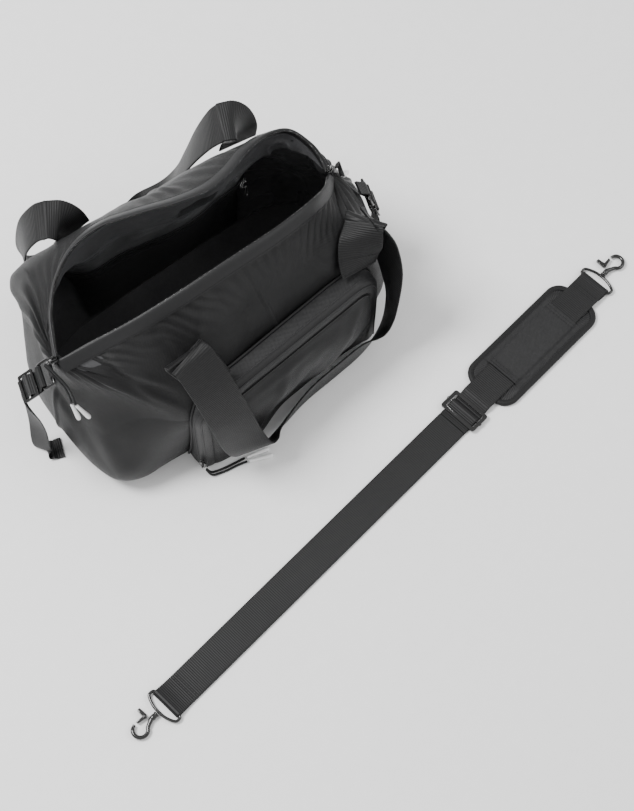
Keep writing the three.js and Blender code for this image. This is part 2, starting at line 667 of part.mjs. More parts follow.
// The strap lies flat, set to its shortest. Local X runs from its lower end to its upper end.
const STRAP = { length: 711, adjusterAt: 478, padAt: 598, padLength: 173, padWidth: 70 };
const PLY = { lower: 1.1, upper: 3.1, fold: 4.1, overPad: 6.95 };
const strap = new THREE.Group();
strap.position.set(-302, -329, 0);
strap.rotation.z = THREE.MathUtils.degToRad(8);
group.add(strap);

const padStart = STRAP.padAt - STRAP.padLength / 2;
const padEnd = STRAP.padAt + STRAP.padLength / 2;
const foldRadius = WIRE + GAP + STRAP_WEB.thick / 2 + 0.2;
const strapRun = [
  [STRAP.length - 14, 3.2], [STRAP.length - 8, 1.9], [STRAP.length, PLY.fold - foldRadius],
  [STRAP.length + foldRadius, PLY.fold], [STRAP.length, PLY.fold + foldRadius],
  [STRAP.length - 8, PLY.overPad], [padEnd, PLY.overPad], [padEnd - 40, PLY.overPad],
  [padStart + 40, PLY.overPad], [padStart, PLY.overPad], [padStart - 11, 6.8], [padStart - 15, 5.4],
  [padStart - 18, 3.8], [padStart - 23, 2], [padStart - 29, 1.2], [STRAP.adjusterAt - 4, PLY.lower],
  [STRAP.adjusterAt - 16, PLY.lower], [STRAP.adjusterAt - 58, PLY.lower], [240, PLY.lower],
  [60, PLY.lower], [24, PLY.lower], [14, PLY.lower],
  [4, PLY.lower], [0, PLY.fold - foldRadius], [-foldRadius, PLY.fold], [0, PLY.fold + foldRadius],
  [5, 6], [14, 4], [27, PLY.upper], [60, PLY.upper], [120, PLY.upper], [240, PLY.upper],
  [STRAP.adjusterAt - 21, PLY.upper],
];
const strapPoints = strapRun.map(([x, z]) => [x, 0, z]);
const strapAcross = strapRun.map(() => [0, 1, 0]);
const strapWebbing = ribbon(strapPoints, strapAcross, STRAP_WEB.width, STRAP_WEB.thick, 124);
add("strap_webbing", strapWebbing, "webbing", strap);

const adjusterFrame = roundedRect(new THREE.Shape(), 13.5, 25, 3);
adjusterFrame.holes.push(roundedRect(new THREE.Path(), 9.3, 21, 1.5));
const adjuster = add("strap_adjuster", plate(adjusterFrame, 2.8), "metal", strap);
adjuster.position.set(STRAP.adjusterAt, 0, 4.2);
const barShape = new THREE.CylinderGeometry(1.7, 1.7, 41.2, 10);
const bar = add("strap_adjuster_bar", barShape, "metal", strap);
bar.position.set(STRAP.adjusterAt, 0, 5.6);

const padShape = roundedRect(new THREE.Shape(), STRAP.padLength / 2, STRAP.padWidth / 2, 20);
const pad = add("shoulder_pad", plate(padShape, 5.5, 5), "lining", strap);
pad.position.set(STRAP.padAt, 0, 0.3);
const sleeveHalf = STRAP.padWidth / 2 - 12;
const sleeveSection = new THREE.Shape();
[
  [-sleeveHalf, 0], [-sleeveHalf, 2.6], [sleeveHalf, 2.6], [sleeveHalf, 0],
  [sleeveHalf - 1, 0], [sleeveHalf - 1, 1.8], [1 - sleeveHalf, 1.8], [1 - sleeveHalf, 0],
].forEach(([y, z], i) => (i ? sleeveSection.lineTo(z, y) : sleeveSection.moveTo(z, y)));
const sleeve = add("pad_sleeve", plate(sleeveSection, 104), "shell", strap);
sleeve.position.set(STRAP.padAt - 52, 0, 6.2);
sleeve.rotation.y = Math.PI / 2;
sleeve.scale.set(-1, 1, 1);

// A trigger clasp lies beyond each end of the strap: a wire loop through the fold, and a hook
// that swivels on it, closed by a sprung gate with a thumb lever.
const CLASP = { ring: 8.4, wire: 2.3, reach: 40, barrel: 3.4, pivotX: 13.5, pivotY: 7 };

function clasp(name, x, turn, flip) {
  const frame = new THREE.Group();
  frame.position.set(x, 0, PLY.fold);
  frame.rotation.z = turn;
  strap.add(frame);
  const loop = [
    [0, -19, 0], [0, -7, 0], [0, 7, 0], [0, 19, 0], [3.6, 21.5, 0], [8, 20, 0],
    [12, 10, 0], [13, 0, 0], [12, -10, 0], [8, -20, 0], [3.6, -21.5, 0],
  ];
  add(name + "_loop", wire(loop, WIRE, 36, 6, true), "metal", frame);

  const centre = CLASP.reach;
  const body = [];
  const radii = [];
  const put = (px, py, r) => {
    body.push([px, py * flip, 0]);
    radii.push(r);
  };
  put(centre - 24.6, 0, CLASP.barrel);
  put(centre - 17.5, 0, CLASP.barrel);
  put(centre - 15, -0.5, 2.6);
  for (let i = 0; i <= 11; i++) {
    const angle = Math.PI + 0.5 + (i * 4.1) / 11;
    const radius = i < 10 ? CLASP.wire : 1.9;
    put(centre + CLASP.ring * Math.cos(angle), CLASP.ring * Math.sin(angle), radius);
  }
  const path = spline(body);
  const rings = [];
  const steps = 40;
  for (let i = 0; i <= steps; i++) {
    const t = i / steps;
    const k = Math.min(t * (radii.length - 1), radii.length - 1.001);
    const r = THREE.MathUtils.lerp(radii[Math.floor(k)], radii[Math.floor(k) + 1], k % 1);
    const side = path.getTangent(t).cross(Z).normalize();
    rings.push(
      Array.from({ length: 8 }, (_, j) => {
        const angle = (j * Math.PI) / 4;
        return along(path.getPoint(t), [side, r * Math.cos(angle)], [Z, r * Math.sin(angle)]);
      }),
    );
  }
  add(name + "_hook", skin(rings), "metal", frame);

  const tipAngle = Math.PI + 0.5 + 4.1;
  const tip = [CLASP.ring * Math.cos(tipAngle), CLASP.ring * Math.sin(tipAngle)];
  const pivot = [centre - CLASP.pivotX, CLASP.pivotY];
  const gate = new THREE.Shape();
  gate.moveTo(pivot[0] - 2.2, (pivot[1] + 11) * flip);
  gate.lineTo(pivot[0] - 2.6, (pivot[1] - 1) * flip);
  gate.lineTo(pivot[0], (pivot[1] - 2.8) * flip);
  gate.lineTo(pivot[0] + 2.8, (pivot[1] - 1.6) * flip);
  gate.lineTo(centre + tip[0] - 3.4, (tip[1] - 1.6) * flip);
  gate.lineTo(centre + tip[0] - 3.2, (tip[1] + 1.2) * flip);
  gate.lineTo(pivot[0] + 2.4, (pivot[1] + 2) * flip);
  gate.lineTo(pivot[0] + 1.6, (pivot[1] + 11) * flip);
  gate.closePath();
  const eye = new THREE.Path();
  eye.absarc(pivot[0], pivot[1] * flip, 1.3, 0, 2 * Math.PI);
  gate.holes.push(eye);
  add(name + "_gate", plate(gate, 3, 3), "metal", frame).position.z = -1.5;
  const pin = add(name + "_pin", new THREE.CylinderGeometry(0.9, 0.9, 6.4, 8), "metal", frame);
  pin.position.set(pivot[0], pivot[1] * flip, 0);
  pin.rotation.x = Math.PI / 2;
  const section = [[1.3, 0], [2.3, 0], [2.3, 1], [1.3, 1], [1.3, 0]];
  const coil = section.map((p) => new THREE.Vector2(...p));
  const spring = add(name + "_spring", new THREE.LatheGeometry(coil, 12), "metal", frame);
  spring.position.set(pivot[0], pivot[1] * flip, 1.8);
  spring.rotation.x = Math.PI / 2;
}
clasp("lower_clasp", 0, Math.PI, -1);
clasp("upper_clasp", STRAP.length, 0, 1);

export default group;
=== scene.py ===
import json
import math

import bpy
import numpy as np
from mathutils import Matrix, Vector

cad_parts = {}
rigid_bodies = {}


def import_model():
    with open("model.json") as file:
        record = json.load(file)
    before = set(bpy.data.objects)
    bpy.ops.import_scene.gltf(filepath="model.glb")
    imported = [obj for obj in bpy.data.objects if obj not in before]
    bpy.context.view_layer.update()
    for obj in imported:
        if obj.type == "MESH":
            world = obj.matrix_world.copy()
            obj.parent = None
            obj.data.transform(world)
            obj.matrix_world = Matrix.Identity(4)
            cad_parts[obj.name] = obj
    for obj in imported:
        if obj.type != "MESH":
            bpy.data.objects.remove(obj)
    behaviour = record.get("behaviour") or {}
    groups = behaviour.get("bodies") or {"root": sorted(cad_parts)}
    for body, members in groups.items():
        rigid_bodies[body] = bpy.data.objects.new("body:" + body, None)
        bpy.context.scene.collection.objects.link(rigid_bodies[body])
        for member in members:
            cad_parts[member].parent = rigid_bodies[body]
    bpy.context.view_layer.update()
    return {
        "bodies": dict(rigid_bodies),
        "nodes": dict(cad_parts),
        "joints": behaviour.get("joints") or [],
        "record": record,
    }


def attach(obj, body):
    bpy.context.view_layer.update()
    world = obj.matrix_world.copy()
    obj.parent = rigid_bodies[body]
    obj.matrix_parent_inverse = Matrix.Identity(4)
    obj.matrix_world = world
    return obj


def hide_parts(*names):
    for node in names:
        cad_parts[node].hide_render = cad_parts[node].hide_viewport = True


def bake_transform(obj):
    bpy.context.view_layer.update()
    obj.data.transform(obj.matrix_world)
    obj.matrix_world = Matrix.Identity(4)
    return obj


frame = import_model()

MM = 0.001


# ---- camera -------------------------------------------------------------------------------

camera = bpy.data.objects.new("camera", bpy.data.cameras.new("camera"))
bpy.context.scene.collection.objects.link(camera)
camera.location = (-0.467, -0.802, 1.859)
aim = Vector((0.043, -0.150, 0.0)) - camera.location
camera.rotation_euler = aim.to_track_quat("-Z", "Y").to_euler()
camera.data.lens = 77.7
camera.data.sensor_width = 36
bpy.context.scene.camera = camera


# ---- vectors and curves, in millimetres ---------------------------------------------------

def unit(a):
    a = np.asarray(a, float)
    return a / np.maximum(np.linalg.norm(a, axis=-1, keepdims=True), 1e-9)


def catmull(points, t, closed=False):
    """Uniform Catmull-Rom through points at t from 0 to 1. points may carry leading dimensions."""
    p = np.asarray(points, float)
    n = p.shape[-2]
    spans = n if closed else n - 1
    x = np.clip(np.asarray(t, float), 0, 1) * spans
    k = np.minimum(np.floor(x).astype(int), spans - 1)
    w = (x - k)[..., None]
    if closed:
        a, b, c, d = (p[..., (k + i) % n, :] for i in (-1, 0, 1, 2))
    else:
        first = 2 * p[..., :1, :] - p[..., 1:2, :]
        last = 2 * p[..., -1:, :] - p[..., -2:-1, :]
        q = np.concatenate([first, p, last], axis=-2)
        a, b, c, d = (q[..., k + i, :] for i in range(4))
    return b + 0.5 * w * (c - a + w * (2 * a - 5 * b + 4 * c - d + w * (3 * (b - c) + d - a)))


def even(points, count, closed=False):
    """The same curve with points at even distances, and its length."""
    fine = catmull(points, np.linspace(0, 1, 40 * len(points)), closed)
    steps = np.linalg.norm(np.diff(fine, axis=0), axis=1)
    length = np.concatenate([[0], np.cumsum(steps)])
    at = np.linspace(0, length[-1], count)
    return np.stack([np.interp(at, length, fine[:, i]) for i in range(3)], axis=1), length[-1]


def smooth(x, low, high):
    t = np.clip((np.asarray(x, float) - low) / (high - low), 0, 1)
    return t * t * (3 - 2 * t)


def lumps(p, size, seed):
    """Smooth value noise from -1 to 1, whose cells are size mm."""
    table = np.random.RandomState(seed).uniform(-1, 1, (16, 16, 16))
    x = np.asarray(p, float) / size
    k = np.floor(x).astype(int)
    w = x - k
    w = w * w * (3 - 2 * w)
    total = 0
    for i in (0, 1):
        for j in (0, 1):
            for m in (0, 1):
                corner = table[(k[..., 0] + i) % 16, (k[..., 1] + j) % 16, (k[..., 2] + m) % 16]
                share = (w[..., 0] if i else 1 - w[..., 0]) * (w[..., 1] if j else 1 - w[..., 1])
                total = total + corner * share * (w[..., 2] if m else 1 - w[..., 2])
    return total


def creases(p, size, seed):
    """Narrow ridges from 0 to 1, as in crumpled cloth."""
    return (1 - np.abs(lumps(p, size, seed))) ** 5


def fold(p, a, b, width, height):
    """A ridge, or a valley with a negative height, along the segment from a to b."""
    a, b = np.array(a, float), np.array(b, float)
    d = b - a
    t = np.clip(((p - a) @ d) / (d @ d), 0, 1)
    away = np.linalg.norm(p - (a + t[..., None] * d), axis=-1)
    ends = np.sin(np.pi * np.clip(0.12 + 0.76 * t, 0, 1))
    return height * ends * np.exp(-((away / width) ** 2))


# ---- meshes -------------------------------------------------------------------------------

def piece(name, points, faces, material, body, uvs=None, replaces=(), sharp=40):
    mesh = bpy.data.meshes.new(name)
    mesh.from_pydata((np.asarray(points, float) * MM).tolist(), [], faces)
    mesh.validate()
    if uvs is not None:
        layer = mesh.uv_layers.new(name="cloth")
        index = np.zeros(len(mesh.loops), int)
        mesh.loops.foreach_get("vertex_index", index)
        layer.data.foreach_set("uv", (np.asarray(uvs) * MM)[index].ravel())
    mesh.shade_smooth()
    mesh.set_sharp_from_angle(angle=math.radians(sharp))
    mesh.materials.append(material)
    obj = bpy.data.objects.new(name, mesh)
    bpy.context.scene.collection.objects.link(obj)
    if body:
        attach(obj, body)
    if replaces:
        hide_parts(*replaces)
    return obj


def grid_faces(rows, columns, wrap=False, start=0, flip=False):
    faces = []
    for i in range(rows - 1):
        for j in range(columns if wrap else columns - 1):
            k = (j + 1) % columns
            quad = [start + i * columns + j, start + i * columns + k,
                    start + (i + 1) * columns + k, start + (i + 1) * columns + j]
            faces.append(quad[::-1] if flip else quad)
    return faces


def normals_of(grid, wrap=False):
    if wrap:
        du = np.roll(grid, -1, axis=1) - np.roll(grid, 1, axis=1)
    else:
        du = np.gradient(grid, axis=1)
    return unit(np.cross(du, np.gradient(grid, axis=0)))


def lengths(grid, axis):
    steps = np.linalg.norm(np.diff(grid, axis=axis), axis=2)
    pad = [(0, 0), (0, 0)]
    pad[axis] = (1, 0)
    return np.cumsum(np.pad(steps, pad), axis=axis)


def cloth(name, grid, thick, material, body, wrap=False, flip=False, replaces=(), sharp=50):
    """A sheet through a grid of points, given a thickness away from its outer face."""
    rows, columns = grid.shape[:2]
    normal = normals_of(grid, wrap) * (-1 if flip else 1)
    back = grid - normal * thick
    across = np.mean(lengths(grid, 1), axis=0)
    upward = lengths(grid, 0)
    uv = np.stack([np.broadcast_to(across, (rows, columns)), upward], axis=2).reshape(-1, 2)
    points = np.concatenate([grid.reshape(-1, 3), back.reshape(-1, 3)])
    n = rows * columns
    faces = grid_faces(rows, columns, wrap, 0, flip) + grid_faces(rows, columns, wrap, n, not flip)
    edge = [(j, j + 1) for j in range(columns - 1)] + ([(columns - 1, 0)] if wrap else [])
    last = (rows - 1) * columns
    for j, k in edge:
        low = [j, n + j, n + k, k]
        high = [last + k, n + last + k, n + last + j, last + j]
        faces += [low[::-1], high[::-1]] if flip else [low, high]
    if not wrap:
        for i in range(rows - 1):
            a, b = i * columns, (i + 1) * columns
            left = [a, b, n + b, n + a]
            c, d = a + columns - 1, b + columns - 1
            right = [d, c, n + c, n + d]
            faces += [left[::-1], right[::-1]] if flip else [left, right]
    return piece(name, points, faces, material, body, np.concatenate([uv, uv]), replaces, sharp)


def sweep(rings, loop=False):
    """Points, faces and UVs of a body through closed rings, capped unless it is a loop."""
    rings = np.asarray(rings)
    n, m = rings.shape[:2]
    along = np.concatenate([[0], np.cumsum(np.linalg.norm(np.diff(rings.mean(1), axis=0), axis=1))])
    around = np.concatenate([[0], np.cumsum(np.linalg.norm(np.diff(rings[n // 2], axis=0), axis=1))])
    uv = np.stack(np.meshgrid(around, along), axis=2).reshape(-1, 2)
    faces = grid_faces(n, m, True)
    if loop:
        faces += [[(n - 1) * m + j, (n - 1) * m + (j + 1) % m, (j + 1) % m, j] for j in range(m)]
    else:
        faces += [list(range(m))[::-1], [(n - 1) * m + j for j in range(m)]]
    return rings.reshape(-1, 3), faces, uv


def frames_along(path, closed=False):
    """Tangents with a pair of directions across them that turn as little as possible."""
    tangent = np.roll(path, -1, 0) - np.roll(path, 1, 0) if closed else np.gradient(path, axis=0)
    tangent = unit(tangent)
    side = unit(np.cross(tangent[0], [0.3, 0.2, 1.0] if abs(tangent[0][2]) < 0.9 else [1.0, 0.1, 0.0]))
    sides = [side]
    for t in tangent[1:]:
        side = unit(side - t * (side @ t))
        sides.append(side)
    sides = np.array(sides)
    return tangent, sides, np.cross(tangent, sides)


def tube(name, points, radius, material, body, closed=False, steps=80, sides=14, replaces=(),
         blunt=True, straight=False):
    """A round wire or cord. radius is one number, or one for each of the given points."""
    if straight:
        path = np.asarray(points, float)
        steps = len(path)
    else:
        path, _ = even(points, steps + 1 if closed else steps, closed)
        path = path[:-1] if closed else path
    r = np.interp(np.linspace(0, 1, len(path)), np.linspace(0, 1, np.size(radius)), np.ravel(radius))
    if np.size(radius) == 1:
        r = np.full(len(path), float(radius))
    _, side, up = frames_along(path, closed)
    if blunt and not closed:
        path = np.concatenate([path[:1], path, path[-1:]])
        side, up = (np.concatenate([a[:1], a, a[-1:]]) for a in (side, up))
        r = np.concatenate([r[:1] * 0.6, r, r[-1:] * 0.6])
    angle = np.linspace(0, 2 * math.pi, sides, endpoint=False)
    ring = np.cos(angle)[None, :, None] * side[:, None] + np.sin(angle)[None, :, None] * up[:, None]
    rings = path[:, None] + ring * r[:, None, None]
    points3, faces, uv = sweep(rings, closed)
    return piece(name, points3, faces, material, body, uv, replaces, 60)


def ribbon(name, points, across, width, thick, material, body, replaces=(), pitch=2.4,
           steps=None, extra=None):
    """Flat webbing with rounded selvedges that bite in and out at every rib."""
    raw = np.linspace(0, 1, 30 * len(points))
    middle = catmull(points, raw)
    side = catmull(across, raw)
    run = np.concatenate([[0], np.cumsum(np.linalg.norm(np.diff(middle, axis=0), axis=1))])
    steps = steps or int(run[-1] / 0.8)
    at = np.linspace(0, run[-1], steps)
    middle = np.stack([np.interp(at, run, middle[:, i]) for i in range(3)], axis=1)
    side = unit(np.stack([np.interp(at, run, side[:, i]) for i in range(3)], axis=1))
    tangent = unit(np.gradient(middle, axis=0))
    side = unit(side - tangent * np.sum(side * tangent, axis=1, keepdims=True))
    normal = np.cross(tangent, side)
    s = np.array([-1, -0.985, -0.94, -0.8, -0.5, -0.2, 0.2, 0.5, 0.8, 0.94, 0.985, 1])
    body_thick = thick * np.array([0.42, 0.8, 1.0, 0.92, 0.9, 0.9, 0.9, 0.9, 0.92, 1.0, 0.8, 0.42])
    half = width / 2 * (1 + 0.011 * np.sin(2 * math.pi * at / pitch))[:, None, None]
    offset = half * s[None, :, None] * side[:, None]
    bow = 0 if extra is None else extra(at / run[-1])[:, None, None] * (1 - s[None, :, None] ** 2)
    centre = middle[:, None] + offset + bow * normal[:, None]
    top = centre + normal[:, None] * body_thick[None, :, None] / 2
    bottom = centre - normal[:, None] * body_thick[None, :, None] / 2
    rings = np.concatenate([top, bottom[:, ::-1]], axis=1)
    rings[..., 2] = np.maximum(rings[..., 2], 0.2)
    p, faces, _ = sweep(rings)
    uv_across = np.concatenate([s, s[::-1]]) * width / 2
    uv = np.stack(np.meshgrid(uv_across, at), axis=2).reshape(-1, 2)
    return piece(name, p, faces, material, body, uv, replaces, 70), (middle, side, normal)


def stitches(name, path, normal, material, body, pitch=3.6, long=2.5, radius=0.34):
    """A row of stitches that lie on a path, as one mesh of small spindles."""
    path = np.asarray(path, float)
    run = np.concatenate([[0], np.cumsum(np.linalg.norm(np.diff(path, axis=0), axis=1))])
    count = max(2, int(run[-1] / pitch))
    at = (np.arange(count) + 0.5) * run[-1] / count
    put = lambda a, x: np.stack([np.interp(x, run, a[:, i]) for i in range(3)], axis=1)
    centre = put(path, at)
    heading = unit(put(path, np.minimum(at + 1, run[-1])) - put(path, np.maximum(at - 1, 0)))
    up = unit(put(np.broadcast_to(normal, path.shape), at))
    side = unit(np.cross(heading, up))
    points, faces = [], []
    for c, h, n, w in zip(centre, heading, up, side):
        k = len(points)
        for share, r in ((-0.5, 0.45), (-0.25, 1), (0.25, 1), (0.5, 0.45)):
            for angle in np.arange(6) * math.pi / 3:
                spoke = n * math.sin(angle) + w * math.cos(angle)
                points.append(c + h * long * share + radius * r * spoke)
        faces += grid_faces(4, 6, True, k)
        faces += [[k + j for j in range(6)][::-1], [k + 18 + j for j in range(6)]]
    return piece(name, points, faces, material, body)


def slab(outline, low, high, edge=0.6, frame=None):
    """Points and faces of a flat plate with rounded rims. frame is (origin, x, y)."""
    flat = np.asarray(outline, float)
    inner = flat - unit(flat - flat.mean(0)) * edge
    levels = [(inner, low), (flat, low + edge), (flat, high - edge), (inner, high)]
    rings = np.array([np.column_stack([ring, np.full(len(ring), z)]) for ring, z in levels])
    if frame is not None:
        origin, x, y = (np.asarray(a, float) for a in frame)
        basis = np.stack([x, y, np.cross(x, y)])
        rings = rings @ basis + origin
    p, faces, _ = sweep(rings)
    return p, faces


def merged(parts):
    points, faces, start = [], [], 0
    for p, f in parts:
        points.append(np.asarray(p))
        faces += [[i + start for i in face] for face in f]
        start += len(p)
    return np.concatenate(points), faces


# ---- materials ----------------------------------------------------------------------------

class Nodes:
    """A short way to write a node tree."""

    def __init__(self, name):
        self.material = bpy.data.materials.new(name)
        self.material.use_nodes = True
        self.tree = self.material.node_tree
        self.shader = self.tree.nodes["Principled BSDF"]

    def add(self, kind, **inputs):
        node = self.tree.nodes.new(kind)
        for key, value in inputs.items():
            target = node.inputs[int(key[1:])] if key[0] == "i" and key[1:].isdigit() else None
            if target is None and hasattr(node, key) and not isinstance(value, bpy.types.NodeSocket):
                setattr(node, key, value)
                continue
            target = target or node.inputs[key.replace("_", " ")]
            if isinstance(value, bpy.types.NodeSocket):
                self.tree.links.new(value, target)
            else:
                target.default_value = value
        return node

    def math(self, operation, a, b=0.0):
        return self.add("ShaderNodeMath", operation=operation, i0=a, i1=b).outputs[0]

    def link(self, socket, name):
        self.tree.links.new(socket, self.shader.inputs[name])

    def shade(self, low, high, fac):
        ramp = self.add("ShaderNodeValToRGB")
        ramp.color_ramp.elements[0].color = (*low, 1)
        ramp.color_ramp.elements[1].color = (*high, 1)
        self.tree.links.new(fac, ramp.inputs[0])
        self.link(ramp.outputs[0], "Base Color")
        return ramp

    def bump(self, height, distance, strength=1.0, normal=None):
        node = self.add("ShaderNodeBump", Height=height, Distance=distance, Strength=strength)
        if normal is not None:
            self.tree.links.new(normal, node.inputs["Normal"])
        return node.outputs[0]


def grey(value, tint=0.0):
    return (value, value, value * (1 + tint))


def fabric(name, dark, light, pattern, size, depth, rough=0.62, sheen=0.35, spread=0.5, tint=0.04):
    """Woven cloth. pattern is diamond, plain, rib or braid, and size is its repeat in millimetres."""
    n = Nodes(name)
    uv = n.add("ShaderNodeUVMap", uv_map="cloth").outputs[0]
    place = n.add("ShaderNodeSeparateXYZ", i0=uv)
    x = n.math("DIVIDE", place.outputs[0], size * MM)
    y = n.math("DIVIDE", place.outputs[1], size * MM)
    wave = lambda v: n.math("SINE", n.math("MULTIPLY", v, 2 * math.pi))
    if pattern == "diamond":
        weave = n.math("MULTIPLY", wave(n.math("ADD", x, y)), wave(n.math("SUBTRACT", x, y)))
        weave = n.math("ABSOLUTE", weave)
    elif pattern == "rib":
        weave = n.math("ADD", wave(y), n.math("MULTIPLY", wave(n.math("MULTIPLY", x, 1.7)), 0.45))
        weave = n.math("ADD", n.math("MULTIPLY", weave, 0.4), 0.5)
    elif pattern == "braid":
        weave = n.math("ABSOLUTE", wave(n.math("ADD", x, n.math("MULTIPLY", y, 0.7))))
    else:
        weave = n.math("ADD", n.math("MULTIPLY", n.math("MULTIPLY", wave(x), wave(y)), 0.5), 0.5)
    place3 = n.add("ShaderNodeTexCoord").outputs["Object"]
    broad = n.add("ShaderNodeTexNoise", Vector=place3, Scale=14.0, Detail=3.0).outputs[0]
    fine = n.add("ShaderNodeTexNoise", Vector=place3, Scale=420.0, Detail=2.0).outputs[0]
    mix = n.math("MULTIPLY", weave, spread)
    mix = n.math("ADD", mix, n.math("MULTIPLY", broad, 0.45 * (1 - spread) * 2))
    mix = n.math("ADD", mix, n.math("MULTIPLY", n.math("SUBTRACT", fine, 0.5), 0.5))
    n.shade(grey(dark, tint), grey(light, tint), mix)
    roughness = n.math("ADD", n.math("MULTIPLY", broad, 0.16), rough - 0.08)
    n.link(n.math("SUBTRACT", roughness, n.math("MULTIPLY", weave, 0.06)), "Roughness")
    first = n.bump(weave, depth * MM, 0.8)
    n.link(n.bump(fine, 0.25 * MM, 0.5, first), "Normal")
    n.shader.inputs["Sheen Weight"].default_value = sheen
    n.shader.inputs["Sheen Roughness"].default_value = 0.45
    n.shader.inputs["Sheen Tint"].default_value = (0.8, 0.82, 0.85, 1)
    n.shader.inputs["Specular IOR Level"].default_value = 0.24
    return n.material


def solid(name, dark, light, rough, metallic=0.0, coat=0.0, grain=700.0, wear=0.0):
    """Metal or moulded plastic: fine grain, smudged roughness and a touch of wear."""
    n = Nodes(name)
    place = n.add("ShaderNodeTexCoord").outputs["Object"]
    broad = n.add("ShaderNodeTexNoise", Vector=place, Scale=60.0, Detail=4.0).outputs[0]
    fine = n.add("ShaderNodeTexNoise", Vector=place, Scale=grain, Detail=2.0).outputs[0]
    edge = n.add("ShaderNodeNewGeometry").outputs["Pointiness"]
    worn = n.math("MULTIPLY", n.math("GREATER_THAN", edge, 0.56), wear)
    n.shade(grey(dark), grey(light), n.math("ADD", broad, worn))
    n.link(n.math("ADD", n.math("MULTIPLY", broad, 0.18), rough - 0.09), "Roughness")
    n.link(n.bump(fine, 0.05 * MM, 0.35), "Normal")
    n.shader.inputs["Metallic"].default_value = metallic
    n.shader.inputs["Coat Weight"].default_value = coat
    n.shader.inputs["Coat Roughness"].default_value = 0.12
    return n.material


SHELL = fabric("shell cloth", 0.003, 0.013, "diamond", 3.4, 0.22, 0.46, 0.02)
DOBBY = fabric("dobby cloth", 0.003, 0.026, "diamond", 4.2, 0.35, 0.5, 0.025, 0.7)
LINING = fabric("lining cloth", 0.03, 0.075, "plain", 1.0, 0.05, 0.32, 0.1, 0.25)
WEBBING = fabric("webbing", 0.002, 0.012, "rib", 2.4, 0.35, 0.5, 0.02, 0.65)
TAPE = fabric("zip tape", 0.007, 0.017, "rib", 1.3, 0.12, 0.4, 0.02, 0.5)
BINDING = fabric("binding", 0.003, 0.009, "rib", 1.6, 0.15, 0.55, 0.05, 0.5)
THREAD = fabric("thread", 0.006, 0.016, "braid", 0.8, 0.08, 0.55, 0.05)
CORD = fabric("braided cord", 0.003, 0.012, "braid", 1.6, 0.3, 0.55, 0.06)
METAL = solid("gun-metal", 0.02, 0.05, 0.16, 1.0, 0.5, wear=0.6)
COIL = solid("zip coil", 0.008, 0.02, 0.32)
BRIGHT = solid("polished nickel", 0.45, 0.62, 0.2, 1.0)
TIP = solid("white silicone", 0.74, 0.84, 0.42, grain=300.0)
BOARD = solid("board", 0.012, 0.025, 0.7)


# ---- the shell's net, as in the CAD model -------------------------------------------------

RINGS = [
    [
        [-206, 5, 3], [-184, -86, 3], [-118, -104, 3], [-49, -106, 3],
        [26, -102, 3], [96, -98, 3], [150, -94, 3], [186, -78, 3],
        [206, 0, 3], [190, 80, 3], [146, 102, 3], [86, 108, 3],
        [11, 110, 3], [-64, 108, 3], [-136, 102, 3], [-192, 76, 3],
    ],
    [
        [-212, 4, 35], [-196, -97, 32], [-119, -112, 35], [-49, -112, 38],
        [26, -108, 38], [96, -103, 38], [154, -99, 38], [196, -82, 38],
        [212, 0, 38], [196, 84, 38], [148, 108, 38], [86, 118, 38],
        [11, 122, 38], [-64, 121, 38], [-142, 113, 38], [-198, 80, 38],
    ],
    [
        [-204, 8, 92], [-178, -80, 90], [-116, -118, 90], [-49, -114, 90],
        [26, -109, 90], [96, -104, 90], [154, -99, 90], [196, -74, 90],
        [214, 2, 92], [194, 76, 92], [146, 108, 92], [86, 125, 92],
        [11, 130, 92], [-64, 131, 92], [-148, 124, 92], [-196, 76, 92],
    ],
    [
        [-198, 4, 140], [-166, -56, 138], [-111, -117, 130], [-49, -110, 140],
        [26, -103, 142], [96, -97, 142], [150, -94, 137], [190, -58, 140],
        [208, -2, 142], [186, 58, 140], [150, 94, 142], [91, 112, 146],
        [11, 121, 148], [-69, 128, 148], [-166, 128, 146], [-184, 66, 142],
    ],
    [
        [-196, -6, 182], [-186, -30, 183], [-144, -74, 176], [-56, -84, 200],
        [21, -82, 205], [88, -78, 203], [148, -66, 184], [184, -34, 172],
        [192, -4, 168], [188, 26, 178], [165, 58, 196], [98, 82, 206],
        [11, 88, 208], [-74, 100, 206], [-162, 92, 198], [-195, 28, 188],
    ],
]
MOUTH_FRONT = [
    [-195, -17, 205], [-159, -27, 216], [-106, -42, 234], [-44, -50, 246], [16, -53, 250],
    [72, -52, 247], [118, -44, 236], [149, -31, 218], [172, -10, 197],
]
MOUTH_REAR = [
    [174, -4, 196], [175, 10, 207], [170, 26, 222], [156, 45, 238], [132, 53, 243], [104, 50, 246],
    [72, 40, 247], [42, 36, 247], [6, 44, 245], [-34, 60, 243], [-74, 73, 240], [-112, 73, 235],
    [-144, 58, 228], [-169, 36, 219], [-186, 10, 211], [-196, -10, 205],
]
MOUTH_LEFT = [[-196, -10, 205], [-197, -13.5, 203], [-195, -17, 205]]
MOUTH_RIGHT = [[172, -10, 197], [175, -7, 195], [174, -4, 196]]
STATIONS = 16
SPINE = 150


def mouth(u):
    turn = (np.asarray(u, float) - 2) % STATIONS
    edges = (MOUTH_FRONT, MOUTH_RIGHT, MOUTH_REAR, MOUTH_LEFT)
    at = np.stack([catmull(edge, (turn % 4) / 4) for edge in edges])
    return np.take_along_axis(at, (turn // 4).astype(int)[None, ..., None], axis=0)[0]


